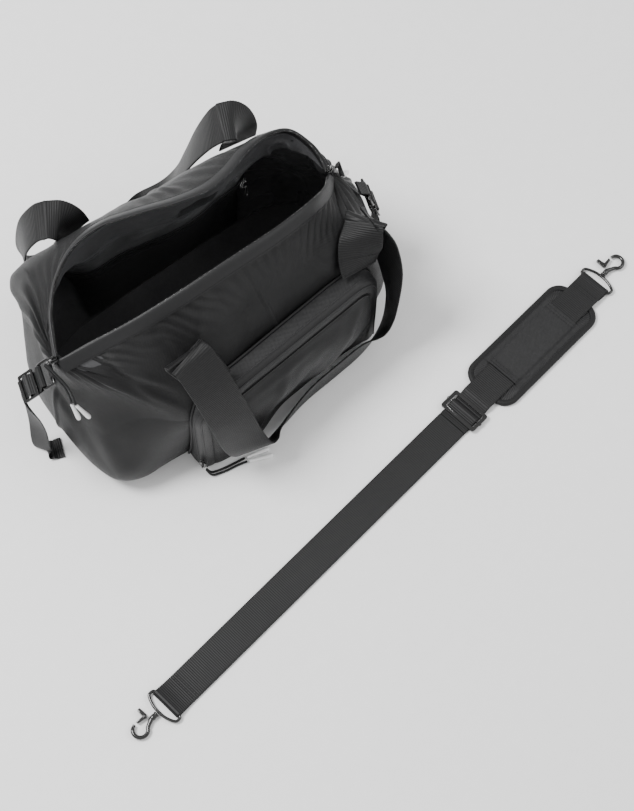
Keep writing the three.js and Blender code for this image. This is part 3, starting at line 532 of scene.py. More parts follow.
def shell(u, v):
    """The outside of the bag at stations u and heights v, which have the same shape."""
    u, v = np.broadcast_arrays(np.asarray(u, float), np.asarray(v, float))
    flat = u.ravel()
    knots = [catmull(ring, (flat % STATIONS) / STATIONS, closed=True) for ring in RINGS]
    knots = np.stack([*knots, mouth(flat)], axis=1)
    x = np.clip(v.ravel(), 0, 1) * 5
    k = np.minimum(x.astype(int), 4)
    w = (x - k)[:, None]
    first = 2 * knots[:, :1] - knots[:, 1:2]
    last = 2 * knots[:, -1:] - knots[:, -2:-1]
    q = np.concatenate([first, knots, last], axis=1)
    row = np.arange(len(k))
    a, b, c, d = (q[row, k + i] for i in range(4))
    p = b + 0.5 * w * (c - a + w * (2 * a - 5 * b + 4 * c - d + w * (3 * (b - c) + d - a)))
    return p.reshape(*u.shape, 3)


def inward(p):
    x = p[..., 0] - np.clip(p[..., 0], -SPINE, SPINE)
    return unit(np.stack([-x, -p[..., 1], np.zeros_like(x)], axis=-1))


def mouth_frame(u):
    """Points of the mouth's edge, directions along it and up the slope of the shell."""
    edge = mouth(u)
    along = unit(mouth(u + 0.01) - mouth(u - 0.01))
    rise = edge - shell(u, 0.93)
    up = unit(rise - along * np.sum(rise * along, axis=-1, keepdims=True))
    return edge, along, up


# ---- the shell ----------------------------------------------------------------------------

# The main folds: from, to, half-width and height, which is negative in a valley.
CREASES = [
    ((-176, -30, 205), (-112, -110, 152), 7.5, -6.0),
    ((-160, -40, 204), (-120, -96, 172), 8, 5.2),
    ((-158, -32, 210), (-146, -72, 168), 5.5, -5.0),
    ((-190, 30, 196), (-166, 126, 150), 8, 4.5),
    ((-198, 22, 180), (-178, 110, 140), 9, -3.2),
    ((152, -34, 200), (134, -66, 152), 6, -3.4),
    ((142, -30, 205), (116, -74, 180), 7, 2.6),
    ((166, -20, 186), (196, -52, 130), 7, 3.2),
    ((170, -8, 180), (212, -8, 110), 7, -2.6),
    ((-96, -112, 168), (-40, -62, 232), 9, 2.2),
    ((-20, -104, 160), (40, -62, 236), 12, -1.9),
    ((120, -100, 150), (70, -64, 232), 10, 2.0),
    ((-204, -40, 150), (-190, -92, 40), 13, 3.0),
    ((-206, 40, 130), (-200, -60, 60), 10, -2.6),
    ((-60, 128, 150), (-10, 92, 215), 10, 2.4),
    ((120, 106, 150), (90, 84, 214), 9, -2.2),
]


def shell_folds(p, u, v, top):
    """How far the cloth stands out from the net, in millimetres."""
    run = np.minimum(smooth(v, 0.0, 0.06), smooth(top - v, 0.0, 0.05))
    out = 2.2 * lumps(p, 62, 3) + 1.1 * lumps(p, 27, 5) - 1.2 * creases(p * [1, 1, 0.7], 58, 8)
    out = out * run
    seam_away = np.abs(((u + 2) % 4) - 2)
    seam = np.exp(-((seam_away / 0.035) ** 2)) * smooth(v, 0.0, 0.03) * smooth(0.93 - v, 0, 0.08)
    out = out + 1.7 * seam
    at_end = 1 - smooth(u % 8, 1.9, 2.3) + smooth(u % 8, 5.7, 6.1)
    gather = np.sin(2 * math.pi * (3.1 * u + 0.25 * lumps(p, 40, 9)))
    out = out + 1.7 * at_end * gather * smooth(v, 0.55, 0.9) * smooth(top - v, 0, 0.04)
    pucker = np.sin(2 * math.pi * (6.3 * u + 0.6 * lumps(p, 30, 4)))
    beside_zip = smooth(v, top - 0.2, top - 0.04) * smooth(top - v, 0, 0.02)
    out = out + 0.75 * (1 - at_end) * pucker * beside_zip
    for a, b, width, height in CREASES:
        out = out + fold(p, a, b, width, height)
    return out


def shell_top(u):
    """The height v where the shell meets the zip tape, or the gathered end."""
    edge, _, up = mouth_frame(u)
    fall = shell(u, 0.93) - edge
    drop = -np.sum(fall * up, axis=-1)
    sides = 1 - 0.07 * 8.2 / np.maximum(drop, 4)
    away = np.abs(u % 8 - 4)
    return np.where(away > 1.97, 0.985, np.clip(sides, 0.86, 0.985))


def make_shell():
    columns, rows = 720, 150
    u = np.linspace(0, STATIONS, columns, endpoint=False)
    top = shell_top(u)
    share = np.linspace(0, 1, rows)[:, None]
    v = share * top[None]
    net = shell(np.broadcast_to(u, v.shape), v)
    normal = normals_of(net, True)
    facing = np.sum(normal * inward(net), axis=2).mean()
    normal = -normal if facing > 0 else normal
    grid = net + normal * shell_folds(net, np.broadcast_to(u, v.shape), v, top[None])[..., None]
    grid[..., 2] = np.maximum(grid[..., 2], 2.6)
    cloth("shell_cloth", grid, 1.5, SHELL, "bag", wrap=True, flip=facing > 0,
          replaces=("front_panel", "rear_panel", "right_end_panel", "left_end_panel"))
    rim = grid[0]
    rings = [rim * [1, 1, 0] + [0, 0, 2.7]]
    for inset, z in ((0.6, 1.2), (2.2, 0.25), (8, 0.05)):
        rings.append(rim + inward(rim) * inset - [0, 0, 1] * rim[:, 2:] + [0, 0, z])
    for share in (0.8, 0.5, 0.2, 0.02):
        rings.append(rings[3] * [share, share, 1])
    cloth("base_cloth", np.array(rings), 1.6, SHELL, "bag", wrap=True, flip=facing <= 0,
          replaces=("base_panel",))


make_shell()
frame["nodes"]["base_board"].data.materials[0] = BOARD


def rim(name, start, stop, columns, node):
    """One side of the main zip: its tape, coil and the seam beside it."""
    edge, _, up = mouth_frame(np.linspace(start, stop, columns))
    into = inward(edge)
    section = [
        (-13.4, 0.2), (-12.8, -1.1), (-8, -1.7), (-2, -1.6), (1.2, -0.9), (2.4, 0.3), (2.4, 1.9),
        (1.4, 2.9), (0.0, 3.0), (-0.7, 2.2), (-1.0, 1.2), (-7, 1.1), (-13.2, 0.9),
    ]
    waver = 0.5 * lumps(edge, 24, 12)
    rings = np.stack([edge + up * a + into * (b + waver[:, None]) for a, b in section], axis=1)
    p, faces, uv = sweep(rings)
    piece(name, p, faces, TAPE, "bag", uv, (node,), 60)
    line = edge - up * 10.8 - into * (1.6 - waver[:, None])
    stitches(name + "_stitches", line, -into, THREAD, "bag", pitch=3.2)
    turns, steps = 300, 4200
    edge, _, up = mouth_frame(np.linspace(start + 0.03, stop - 0.03, steps))
    into = inward(edge)
    turn = np.linspace(0, 2 * math.pi * turns, steps)[:, None]
    helix = edge + up * (0.3 + 1.1 * np.sin(turn)) + into * (3.1 + 1.1 * np.cos(turn))
    tube(name + "_coil", helix, 0.42, COIL, "bag", sides=5, straight=True)


rim("front_zip", 2.0, 6.0, 360, "front_zip_tape")
rim("rear_zip", 10.0, 14.0, 420, "rear_zip_tape")


# ---- the lining and what is on it ---------------------------------------------------------

GAP, LINING_THICK, FLOOR = 7, 1.4, 7.8


def lining_at(u, v, inset):
    u, v = np.broadcast_arrays(np.asarray(u, float), np.asarray(v, float))
    outside = shell(u, v)
    v3 = v[..., None]
    straight = mouth(u) * v3 + shell(u, np.zeros_like(v)) * (1 - v3)
    away = np.abs((u % 8) - 4) / 2
    hang = (0.8 * smooth(1 - away, 0.1, 0.6))[..., None]
    p = outside + (straight - outside) * hang
    gap = GAP + LINING_THICK - 5.6 * smooth(v, 0.8, 0.96)
    run = smooth(v, 0.0, 0.08) * smooth(0.965 - v, 0.0, 0.06)
    into = inward(p)
    stretched = p * [1, 1, 0.3]
    folds = 3.0 * lumps(stretched, 34, 21) + 1.6 * lumps(p * [1, 1, 0.55], 17, 22)
    crumple = smooth(p[..., 0], 90, 150)
    folds = folds + crumple * (4.2 * creases(p, 30, 24) + 2.4 * lumps(p, 15, 25))
    folds = folds + (1 - crumple) * 2.6 * creases(p * [1, 1, 0.45], 52, 27)
    panel = smooth(u, 10.3, 10.7) * smooth(13.6 - u, 0, 0.3) * smooth(0.62 - v, 0, 0.08)
    folds = (folds + 0.6) * (1 - 0.7 * panel)
    depth = gap + inset + np.maximum(folds, -1.6) * run
    return p + into * depth[..., None]


def make_lining():
    columns, rows, top = 640, 120, 0.975
    u = np.linspace(0, STATIONS, columns, endpoint=False)
    v = np.linspace(0.03, top, rows)[:, None] * np.ones(columns)
    wall = lining_at(np.broadcast_to(u, v.shape), v, 0)
    foot = wall[0]
    rings = []
    for share in (0.02, 0.15, 0.3, 0.45, 0.6, 0.75, 0.86, 0.94, 0.98, 1.0):
        level = foot * [share, share, 0]
        bed = FLOOR + 1.2 * lumps(level, 40, 31) * (1 - share)
        bed = bed + (foot[:, 2] - FLOOR) * smooth(share, 0.9, 1)
        rings.append(level + np.stack([0 * bed, 0 * bed, np.maximum(bed, FLOOR - 1)], axis=1))
    grid = np.concatenate([np.array(rings[:-1]), wall])
    normal = normals_of(grid, True)[40]
    flip = np.sum(normal * inward(grid[40]), axis=1).mean() < 0
    cloth("lining_cloth", grid, 0.9, LINING, "bag", wrap=True, flip=flip, replaces=("lining",))


def patch(name, start, stop, low, high, inset, thick, material, node, columns=200, rows=60):
    u, v = np.meshgrid(np.linspace(start, stop, columns), np.linspace(low, high, rows))
    grid = lining_at(u, v, inset)
    flip = np.sum(normals_of(grid) * inward(grid), axis=2).mean() < 0
    cloth(name, grid, thick, material, "bag", flip=flip, replaces=(node,))
    return grid


def make_inner_pocket():
    start, stop, zip_low, zip_high = 10.6, 13.45, 0.475, 0.545
    panel = patch("inner_pocket_cloth", start, stop, 0.08, zip_low, 2.2, 1.0, DOBBY,
                  "inner_pocket_panel")
    for row, name in ((panel[-3], "inner_pocket_stitches"), (panel[:, 2], "inner_pocket_side_stitches")):
        stitches(name, row + inward(row) * 0.3, inward(row), THREAD, "bag")
    tape = patch("inner_zip_cloth", start, stop, zip_low, zip_high, 2.6, 1.0, TAPE,
                 "inner_zip_tape", 200, 12)
    middle = tape[6] + inward(tape[6]) * 0.5
    turns, steps = 150, 2400
    at, knots = np.linspace(0, 1, steps), np.linspace(0, 1, len(middle))
    line = np.stack([np.interp(at, knots, middle[:, i]) for i in range(3)], axis=1)
    turn = 2 * math.pi * turns * at[:, None]
    helix = line + inward(line) * 0.9 * np.cos(turn) + np.array([0, 0, 1.3]) * np.sin(turn)
    tube("inner_zip_coil", helix, 0.4, COIL, "bag", sides=5, straight=True)


def make_label():
    label = patch("label_cloth", 11.7, 12.1, 0.79, 0.875, 0.9, 0.5, THREAD, "woven_label", 30, 12)
    for row, name in ((1, "label_stitches_low"), (-2, "label_stitches_high")):
        line, face = label[row], inward(label[row])
        stitches(name, line + face * 0.2, face, BINDING, "bag", 2.4, 1.7, 0.22)


make_lining()
make_inner_pocket()
make_label()


# ---- the front pocket ---------------------------------------------------------------------

POCKET = {"left": -108, "right": 156, "top": 150, "corner": 36, "bottom": 4}


def on_front(x, z):
    """How far forward the shell stands at x and z."""
    x, z = np.broadcast_arrays(np.asarray(x, float), np.asarray(z, float))
    u = 2 + 4 * (x + 114) / 264
    v = z / 220
    for _ in range(30):
        p = shell(u, v)
        u = np.clip(u + (x - p[..., 0]) / 80, 1.6, 6.4)
        v = np.clip(v + (z - p[..., 2]) / 300, 0, 1)
    return shell(u, v)[..., 1]


def lean_at(x):
    return 0.075 * (np.maximum(x, -50) - 26)


def pocket_outline(inset=0.0, count=300):
    """Points up the pocket's left side, over its top and down its right side, and the outward way."""
    left, right = POCKET["left"] + inset, POCKET["right"] - inset
    top, r, bottom = POCKET["top"] - inset, POCKET["corner"] - inset, POCKET["bottom"]
    side, arc, across = top - r - bottom, r * math.pi / 2, right - left - 2 * r
    total = 2 * side + 2 * arc + across
    points, outs = [], []
    for s in np.linspace(0, total, count):
        if s < side:
            points.append((left, bottom + s))
            outs.append((-1, 0))
            continue
        s -= side
        if s < arc:
            a = math.pi - s / r
            points.append((left + r + r * math.cos(a), top - r + r * math.sin(a)))
            outs.append((math.cos(a), math.sin(a)))
            continue
        s -= arc
        if s < across:
            points.append((left + r + s, top))
            outs.append((0, 1))
            continue
        s -= across
        if s < arc:
            a = math.pi / 2 - s / r
            points.append((right - r + r * math.cos(a), top - r + r * math.sin(a)))
            outs.append((math.cos(a), math.sin(a)))
            continue
        points.append((right, top - r - (s - arc)))
        outs.append((1, 0))
    return np.array(points), np.array(outs)


OUTLINE, OUTWARD = pocket_outline()
OUT3 = np.stack([OUTWARD[:, 0], 0 * OUTWARD[:, 0], OUTWARD[:, 1]], axis=1)
BACK = on_front(OUTLINE[:, 0], OUTLINE[:, 1])
LEAN = lean_at(OUTLINE[:, 0])
WAVER = lumps(np.stack([OUTLINE[:, 0], 0 * BACK, OUTLINE[:, 1]], axis=1), 30, 41)


def band_point(y, away):
    base = np.stack([OUTLINE[:, 0], y, OUTLINE[:, 1]], axis=1)
    return base + OUT3 * np.asarray(away).reshape(-1, 1)


def make_pocket():
    gusset_front, zip_front = -121 + LEAN, -131 + LEAN
    rows = []
    for share in np.linspace(0, 1, 26):
        y = (BACK - 0.6) * (1 - share) + (gusset_front - 0.4) * share
        puff = 1.4 * math.sin(math.pi * share) + 0.8 * WAVER * math.sin(math.pi * share)
        rows.append(band_point(y, puff + 0.4))
    cloth("pocket_gusset_cloth", np.array(rows), 1.2, DOBBY, "bag", flip=True,
          replaces=("pocket_gusset",))
    section = catmull([[0, 1.5], [0.28, -0.6], [0.55, -4.5], [0.8, -10], [1, -16]], np.linspace(0, 1, 26))
    rows = []
    for share, away in section:
        y = gusset_front - 0.2 + (zip_front - gusset_front) * math.sin(min(share, 1) * math.pi / 2)
        rows.append(band_point(y - 0.4 * WAVER * share, away + 0.4 * WAVER))
    grid = np.array(rows)
    cloth("pocket_zip_cloth", grid, 1.2, TAPE, "bag", flip=True, replaces=("pocket_zip_tape",))
    normal = -normals_of(grid)
    for row, name in ((2, "outer"), (-3, "inner")):
        line, face = grid[row] + normal[row] * 0.2, normal[row]
        stitches(f"pocket_zip_stitches_{name}", line, face, THREAD, "bag")
    line = grid[12] + normal[12] * 0.1
    tube("pocket_zip_coil", line, 1.05, TAPE, "bag", sides=10, straight=True)
    line = np.stack([OUTLINE[:, 0], BACK - 2.2, OUTLINE[:, 1]], axis=1) + OUT3 * 2.2
    line[:, 2] = np.maximum(line[:, 2], 3)
    tube("pocket_piping_cord", line, 1.5, BINDING, "bag", sides=10, straight=True,
         replaces=("pocket_piping",))


# Folds of the pocket's face: from, to, half-width and height.
POCKET_CREASES = [
    ((-70, -140, 20), (10, -146, 120), 8, -3.8), ((-40, -140, 10), (60, -146, 100), 9, 3.0),
    ((30, -138, 30), (120, -132, 120), 9, -3.0), ((-85, -138, 120), (-40, -146, 60), 8, -3.2),
    ((140, -128, 120), (80, -138, 70), 8, 2.6), ((-60, -138, 118), (60, -138, 124), 6, -2.0),
]


def make_pocket_face():
    inset, face_y = 15, -131.3
    left, right = POCKET["left"] + inset, POCKET["right"] - inset
    corner, edge_top = POCKET["corner"] - inset, POCKET["top"] - inset
    bottom = POCKET["bottom"] - 1
    columns, count = 230, 120
    x = left + (right - left) * (1 - np.cos(np.pi * np.linspace(0, 1, columns))) / 2
    side = np.minimum(x - left, right - x)
    near = np.minimum(side, corner)
    top = edge_top - corner + np.sqrt(np.maximum(corner * corner - (corner - near) ** 2, 0))
    fill = np.sqrt(np.minimum(1, side / 40))
    tuck = 14 * smooth(x, -50, 20)
    lean = lean_at(x)
    profile = [(0, 5 - tuck), (0.15, 6 - tuck), (0.35, 10 - tuck / 2), (0.55, 12), (0.78, 12), (1, 0)]
    knots = np.stack([np.stack([0 * x + share, 0 * x + bulge], axis=1) for share, bulge in profile], axis=1)
    rows = []
    floor_y = on_front(x, 0 * x + POCKET["bottom"]) - 1
    front_y = face_y + lean - (5 - tuck) * fill + (1 - fill) * 2 + 1.5
    for t in np.linspace(0, 1, 12)[:-1]:
        rows.append(np.stack([x, floor_y * (1 - t) + front_y * t, 0 * x + bottom - 0.5 + 0.3 * t], axis=1))
    for t in np.linspace(0, 1, count):
        share, bulge = catmull(knots, np.full(1, t))[:, 0].T
        bulge = (bulge * fill - (1 - fill) * 2) * (1 - smooth(t, 0.97, 1))
        rows.append(np.stack([x, face_y + lean - bulge, bottom + (top - bottom) * share], axis=1))
    grid = np.array(rows)
    normal = -normals_of(grid)
    wrinkle = 1.5 * lumps(grid * [1, 1, 0.8], 36, 51) + 0.8 * lumps(grid, 16, 52)
    for a, b, width, height in POCKET_CREASES:
        wrinkle = wrinkle + fold(grid, a, b, width, height)
    height = np.arange(len(grid)) / len(grid)
    free = smooth(height, 0.1, 0.2) * smooth(1 - height, 0, 0.1)
    sides = smooth(side, 0, 14)
    grid = grid + normal * (wrinkle * free[:, None] * sides)[..., None]
    cloth("pocket_face_cloth", grid, 1.3, SHELL, "bag", flip=True, replaces=("pocket_face",))


make_pocket()
make_pocket_face()


# ---- handles ------------------------------------------------------------------------------

HANDLE_WIDE, HANDLE_THICK, SEAM_OUT = 48, 2.2, 20.5

FRONT_GRIP = [
    [-90, -100.8, 222.4], [-87, -112, 217], [-82, -134, 180], [-76, -152, 128], [-69, -161, 80],
    [-60, -166, 52], [-42, -164, 36], [-18, -157, 30], [34, -143, 27], [84, -138, 26],
    [122, -135, 27], [149, -134, 38], [165, -129, 62], [173, -120, 94], [179, -107, 132],
    [180, -93, 170], [175, -83, 194], [169.8, -78.2, 200.4],
]
FRONT_GRIP_ACROSS = [
    [1, 0, 0], [1, 0, 0], [1, -0.1, 0], [1, -0.15, 0], [1, -0.25, 0.1],
    [0.85, -0.4, 0.4], [0.3, -0.45, 0.85], [0, -0.3, 1], [0, -0.18, 1], [0, -0.15, 1],
    [-0.1, -0.2, 1], [-0.4, -0.5, 0.7], [-0.5, -0.8, 0.3], [-0.3, -0.95, 0.1], [0, -1, 0],
    [0.05, -1, 0.1], [0, -0.97, 0.2], [-0.05, -0.95, 0.3],
]
REAR_GRIP = [
    [-105.8, 140.2, 192.6], [-118, 147, 187], [-132, 154, 165], [-138, 159, 128], [-134, 163, 86],
    [-122, 167, 46], [-98, 170, 28], [-50, 171, 27], [0, 168, 28], [36, 160, 46],
    [56, 148, 86], [68, 136, 130], [82, 126, 172], [98, 116, 204], [110.8, 108.7, 218.4],
]
REAR_GRIP_ACROSS = [
    [0.5, 0.87, 0], [0.5, 0.87, 0], [0.45, 0.9, 0], [0.35, 0.93, 0.1], [0.1, 1, 0.2],
    [0, 0.7, 0.7], [0, 0.25, 1], [0, 0.15, 1], [0.1, 0.3, 0.95], [0.6, 0.5, 0.6],
    [0.8, 0.5, 0.3], [0.78, 0.6, 0.15], [0.7, 0.7, 0.1], [0.58, 0.8, 0.1], [0.48, 0.87, 0.1],
]
ENDS = {
    "front_handle_left": (
        [[-72, -118, 154], [-79, -107, 184], [-87, -98, 206], [-91, -95.5, 216], [-90, -100.4, 222.6]],
        [[1, 0, 0]] * 5,
    ),
    "front_handle_right": (
        [[169.4, -78.4, 200.6], [161, -82, 203], [151, -91, 194], [143, -97, 175], [138, -104, 154]],
        [[-0.05, -0.95, 0.3], [0.1, -0.95, 0.2], [0.55, -0.8, 0.1], [0.9, -0.35, 0], [1, 0.08, 0]],
    ),
    "rear_handle_left": (
        [[-84, 131, 152], [-88, 130, 172], [-95, 133, 188], [-105.2, 139.8, 192.6], [-110.4, 142.8, 190.2]],
        [[1, 0, 0], [0.95, 0.2, 0], [0.72, 0.68, 0.1], [0.5, 0.87, 0], [0.5, 0.87, 0]],
    ),
    "rear_handle_right": (
        [[107.7, 110.4, 214.4], [111.4, 108.3, 218.5], [123, 103, 217], [130, 103, 200], [132, 106, 178],
         [131, 110, 156]],
        [[0.48, 0.87, 0.1], [0.48, 0.87, 0.1], [0.55, 0.82, 0.1], [0.88, 0.42, 0.1], [1, -0.05, 0],
         [1, -0.15, 0]],
    ),
}


def handle(side, points, across):
    """A handle's webbing, which bends from the bag to the handle's body, and its two sewn ends."""
    bow = lambda t: 1.6 * np.sin(9 * t) * np.sin(math.pi * t)
    grip, _ = ribbon(
        f"{side}_handle_webbing", points, across, HANDLE_WIDE, HANDLE_THICK, WEBBING, None,
        (f"{side}_handle_grip",), extra=bow)
    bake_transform(grip)
    for way in ("left", "right"):
        name = f"{side}_handle_{way}"
        path, turned = ENDS[name]
        _, (middle, width, normal) = ribbon(
            name + "_webbing", path, turned, HANDLE_WIDE, HANDLE_THICK, WEBBING, "bag",
            (name + "_end",))
        pick = slice(0, 28) if middle[0][2] < middle[-1][2] else slice(-28, None)
        low, face = middle[pick], normal[pick]
        outer = np.where(np.sum(face * inward(low), axis=1, keepdims=True) > 0, -face, face)
        for sign in (-1, 1):
            line = low + width[pick] * sign * SEAM_OUT + outer * 1.2
            stitches(f"{name}_stitches_{'ab'[sign > 0]}", line, outer, THREAD, "bag")
        for k, step in (("low", 4), ("high", 24)):
            over = np.linspace(-SEAM_OUT, SEAM_OUT, 40)[:, None]
            line = low[step] + width[pick][step] * over + outer[step] * 1.2
            stitches(f"{name}_bar_{k}", line, outer[step], THREAD, "bag")


handle("front", FRONT_GRIP, FRONT_GRIP_ACROSS)
handle("rear", REAR_GRIP, REAR_GRIP_ACROSS)


# ---- zip ends, rings and side straps ------------------------------------------------------

RING_HALF, RING_REACH, MIDDLE = 14.8, 14, 32


def side_strap(side, bar, out, dip, legs, lower, lower_across):
    """One end's tab, ring and webbing. bar is where the tab's loop holds the ring."""
    bar, out, legs = np.array(bar, float), unit(out), unit(legs)
    w = np.cross([0, 0, 1], out)
    hang = out * math.cos(dip) - np.array([0, 0, 1]) * math.sin(dip)
    face = np.cross(hang, w)
    apart = np.cross(w, legs)
    at = lambda a, b, c: bar + hang * a + w * b + face * c
    leg = lambda far, gap: bar + legs * far + apart * gap
    tab = [leg(15, -0.8), leg(6, -1.9), leg(0, -2.5), leg(-2.6, 0), leg(0, 2.5), leg(6, 1.9), leg(15, 0.8)]
    ribbon(f"{side}_tab_webbing", tab, [w] * 7, 17, 1.2, WEBBING, "bag",
           (f"{side}_zip_end_tab",), steps=60)
    half = [(0, 4), (0, 12), (1.2, RING_HALF - 0.4), (RING_REACH / 2, RING_HALF),
            (RING_REACH - 1.2, RING_HALF - 0.4), (RING_REACH, 12), (RING_REACH, 4)]
    loop = [at(a, b, 0) for a, b in half] + [at(a, -b, 0) for a, b in half[::-1]]
    tube(f"{side}_ring_wire", loop, 1.6, METAL, f"{side}_ring", closed=True, steps=120,
         replaces=(f"{side}_ring",))
    threaded = [
        (4, -6), (-6, -5.8), (-14, -5.2), (-18, -3.1), (-21.1, 0), (-18, 3.1), (-14, 0.6),
        (-10.8, -2.8), (-8.6, -2.9), (-4.3, 0), (0, 2.9), (4.3, 0), (8.8, -2.9), (13.4, -3),
    ]
    path = [at(MIDDLE + a, 0, c) for a, c in threaded] + lower
    ribbon(f"{side}_strap_webbing", path, [w] * len(threaded) + lower_across, 25, 1.5, WEBBING,
           "bag", (f"{side}_end_strap",), pitch=2)
    bevelled(f"{side}_adjuster", METAL, 0.55)


def bevelled(node, material, width):
    """A CAD node that stays, with rounded edges."""
    obj = frame["nodes"][node]
    obj.data.materials.clear()
    obj.data.materials.append(material)
    weld = obj.modifiers.new("weld", "WELD")
    weld.merge_threshold = 1e-5
    bevel = obj.modifiers.new("bevel", "BEVEL")
    bevel.width = width * MM
    bevel.segments = 3
    bevel.limit_method = "ANGLE"
    bevel.angle_limit = math.radians(35)
    bevel.harden_normals = False
    obj.data.shade_smooth()
    obj.data.set_sharp_from_angle(angle=math.radians(50))


side_strap(
    "left", (-206, -14, 193), (-0.95, 0.31, 0), math.radians(33), (-0.05, -0.1, -1),
    [[-239, -2, 150], [-238, 1, 125], [-235, 3, 92], [-235, 3, 55], [-239, 0, 20], [-238, -3, 5],
     [-230, -8, 2.2], [-220, -12, 2.2]],
    [[-0.35, -0.94, 0], [-0.1, -1, 0], [0.1, -1, 0], [0.3, -0.95, 0], [0.45, -0.9, 0],
     [0.49, -0.87, 0], [0.49, -0.87, 0], [0.49, -0.87, 0]])
side_strap(
    "right", (209, -27, 152), (0.94, -0.34, 0), math.radians(72), (-0.66, 0.15, 0.74),
    [[222, -32, 95], [222, -32, 60], [222, -32, 25], [221, -32, 8], [215, -30, 2.2], [210, -28, 2.2]],
    [[0.34, 0.94, 0]] + [[0.3, 0.95, 0]] * 5)


# ---- sliders and their cord pulls ---------------------------------------------------------

def zip_slider(name, origin, x, y, thick, material, body, node):
    """A slider: two shaped plates with a gap for the tape, and an arched eye for the pull."""
    x, y = unit(x), unit(y)
    outline = [(-6, -2.6), (-3, -3.0), (2, -3.8), (5, -4.4), (6.2, -3), (6.7, 0), (6.2, 3), (5, 4.4),
               (2, 3.8), (-3, 3.0), (-6, 2.6), (-6.8, 0)]
    where = (origin, x, y)
    plates = [slab(outline, 0, 1.3, 0.35, where), slab(outline, thick - 1.3, thick, 0.35, where)]
    post = slab([(2.6, -1), (4.6, -1.2), (4.6, 1.2), (2.6, 1)], 0.8, thick - 0.8, 0.1, where)
    z = np.cross(x, y)
    place = lambda a, b, c: np.asarray(origin) + x * a + y * b + z * c
    arch, _ = even([place(-4.6, 0, thick - 0.3), place(-3.8, 0, thick + 1.7), place(0, 0, thick + 2.3),
                    place(3.6, 0, thick + 1.7), place(4.4, 0, thick - 0.3)], 24)
    _, side, up = frames_along(arch)
    angle = np.linspace(0, 2 * math.pi, 10, endpoint=False)
    ring = np.cos(angle)[None, :, None] * side[:, None] + np.sin(angle)[None, :, None] * up[:, None]
    bridge = sweep(arch[:, None] + 0.75 * ring)[:2]
    points, faces = merged([*plates, post, bridge])
    return piece(name, points, faces, material, body, None, (node,), 35)


def main_slider(name, u, beside, set_back):
    """A slider at the mouth's station u, in line with the edge between there and station beside."""
    edge, inner = mouth(np.array([u, beside]))
    along = unit(inner - edge) * np.sign(beside - u)
    rise = edge - shell(np.array([u]), 0.93)[0]
    up = unit(rise - along * (rise @ along))
    origin = edge + along * set_back + up * 2.8 + inward(edge)
    zip_slider(f"{name}_body", origin, along, np.cross(up, along), 3.6, METAL, name, name)


def tip(name, start, end, body):
    """A moulded tip that flares from the cord's end to a round nose."""
    start, end = np.array(start, float), np.array(end, float)
    length = np.linalg.norm(end - start)
    heading = (end - start) / length
    profile = [(0.0, 1.5), (0.25, 1.95), (length * 0.2, 2.0), (length * 0.4, 2.15), (length * 0.6, 2.5),
               (length * 0.78, 2.75), (length - 2.6, 2.6), (length - 1.2, 2.0), (length - 0.35, 1.1),
               (length - 0.02, 0.3)]
    side = unit(np.cross(heading, [0.2, 0.1, 1]))
    up = np.cross(heading, side)
    angle = np.linspace(0, 2 * math.pi, 20, endpoint=False)
    ring = np.cos(angle)[:, None] * side + np.sin(angle)[:, None] * up
    rings = np.array([start + heading * a + ring * r for a, r in profile])
    p, faces, _ = sweep(rings)
    return piece(f"{name}_silicone", p, faces, TIP, body, None, (name,), 60)


def cord_pull(side, knots, spread, tips, body):
    """A cord that runs from one tip through the slider's eye and back to the other tip."""
    spread = np.array(spread, float)
    strand = lambda sign: [np.array(p) + spread * sign * (2 if i else 1.6) for i, p in enumerate(knots)]
    pieces, ends = [], []
    for (start, end), letter in zip(tips, "ab"):
        pieces.append(tip(f"{side}_pull_tip_{letter}", start, end, body))
        start, end = np.array(start, float), np.array(end, float)
        ends.append(start - unit(end - start) * 2.6)
    path, _ = even([ends[0], *strand(1)[::-1], *strand(-1), ends[1]], 60)
    cord = tube(f"{side}_pull_braid", path, 1.4, CORD, body, straight=True, blunt=False,
                replaces=(f"{side}_pull_cord",))


main_slider("left_slider", 2.0, 2.02, -6)
main_slider("right_slider", 6.0, 5.98, 7.5)
zip_slider("pocket_slider_body", (-107.4, -134.5, 22), (0, 0, 1), (-0.5, 0.866, 0), 3.6, METAL,
           "pocket_slider", "pocket_slider")
cord_pull("left", [[-208.6, -12, 206], [-206, -24, 199], [-202.5, -34, 182], [-201.5, -38, 158]],
          (0.62, -0.78, 0),
          [[[-200.4, -43.8, 148], [-193, -53, 122]], [[-203.6, -39.4, 148], [-203, -47, 121]]], "left_pull")
cord_pull("right", [[183.5, -5, 198], [189, -1, 195], [189, -3.5, 191]], (0.3, -0.3, 0.9),
          [[[186.4, -15.4, 189.8], [199.5, -5, 172]], [[189, -7.6, 178], [204, 2.4, 158]]], "right_pull")
cord_pull("pocket", [[-108, -141, 12], [-104, -145, 4], [-90, -149, 2.2], [-74, -152, 2.2]],
          (0.2, 0.98, 0),
          [[[-61, -152.6, 3.1], [-34, -160, 3.1]], [[-61.4, -158, 3.1], [-35, -169, 3.1]]], "pocket_pull")
INNER_AT, INNER_X = np.array([113.44, 81.01, 122.56]), unit([0.876, 0.482, 0])
zip_slider("inner_slider_body", INNER_AT, INNER_X, (0, 0, 1), 3, BRIGHT, "inner_slider",
           "inner_slider")
pull = [INNER_AT + INNER_X * a + np.array([0, 0, b]) + np.cross(INNER_X, [0, 0, 1]) * c for a, b, c in
        [(0, -2, 5.5), (3.5, -7, 5.5), (3.5, -20, 5.5), (0, -24, 5.5), (-3.5, -20, 5.5), (-3.5, -7, 5.5)]]
tube("inner_pull_wire", pull, 0.9, BRIGHT, "inner_pull", closed=True, steps=60,
     replaces=("inner_pull",))


# ---- the shoulder strap -------------------------------------------------------------------

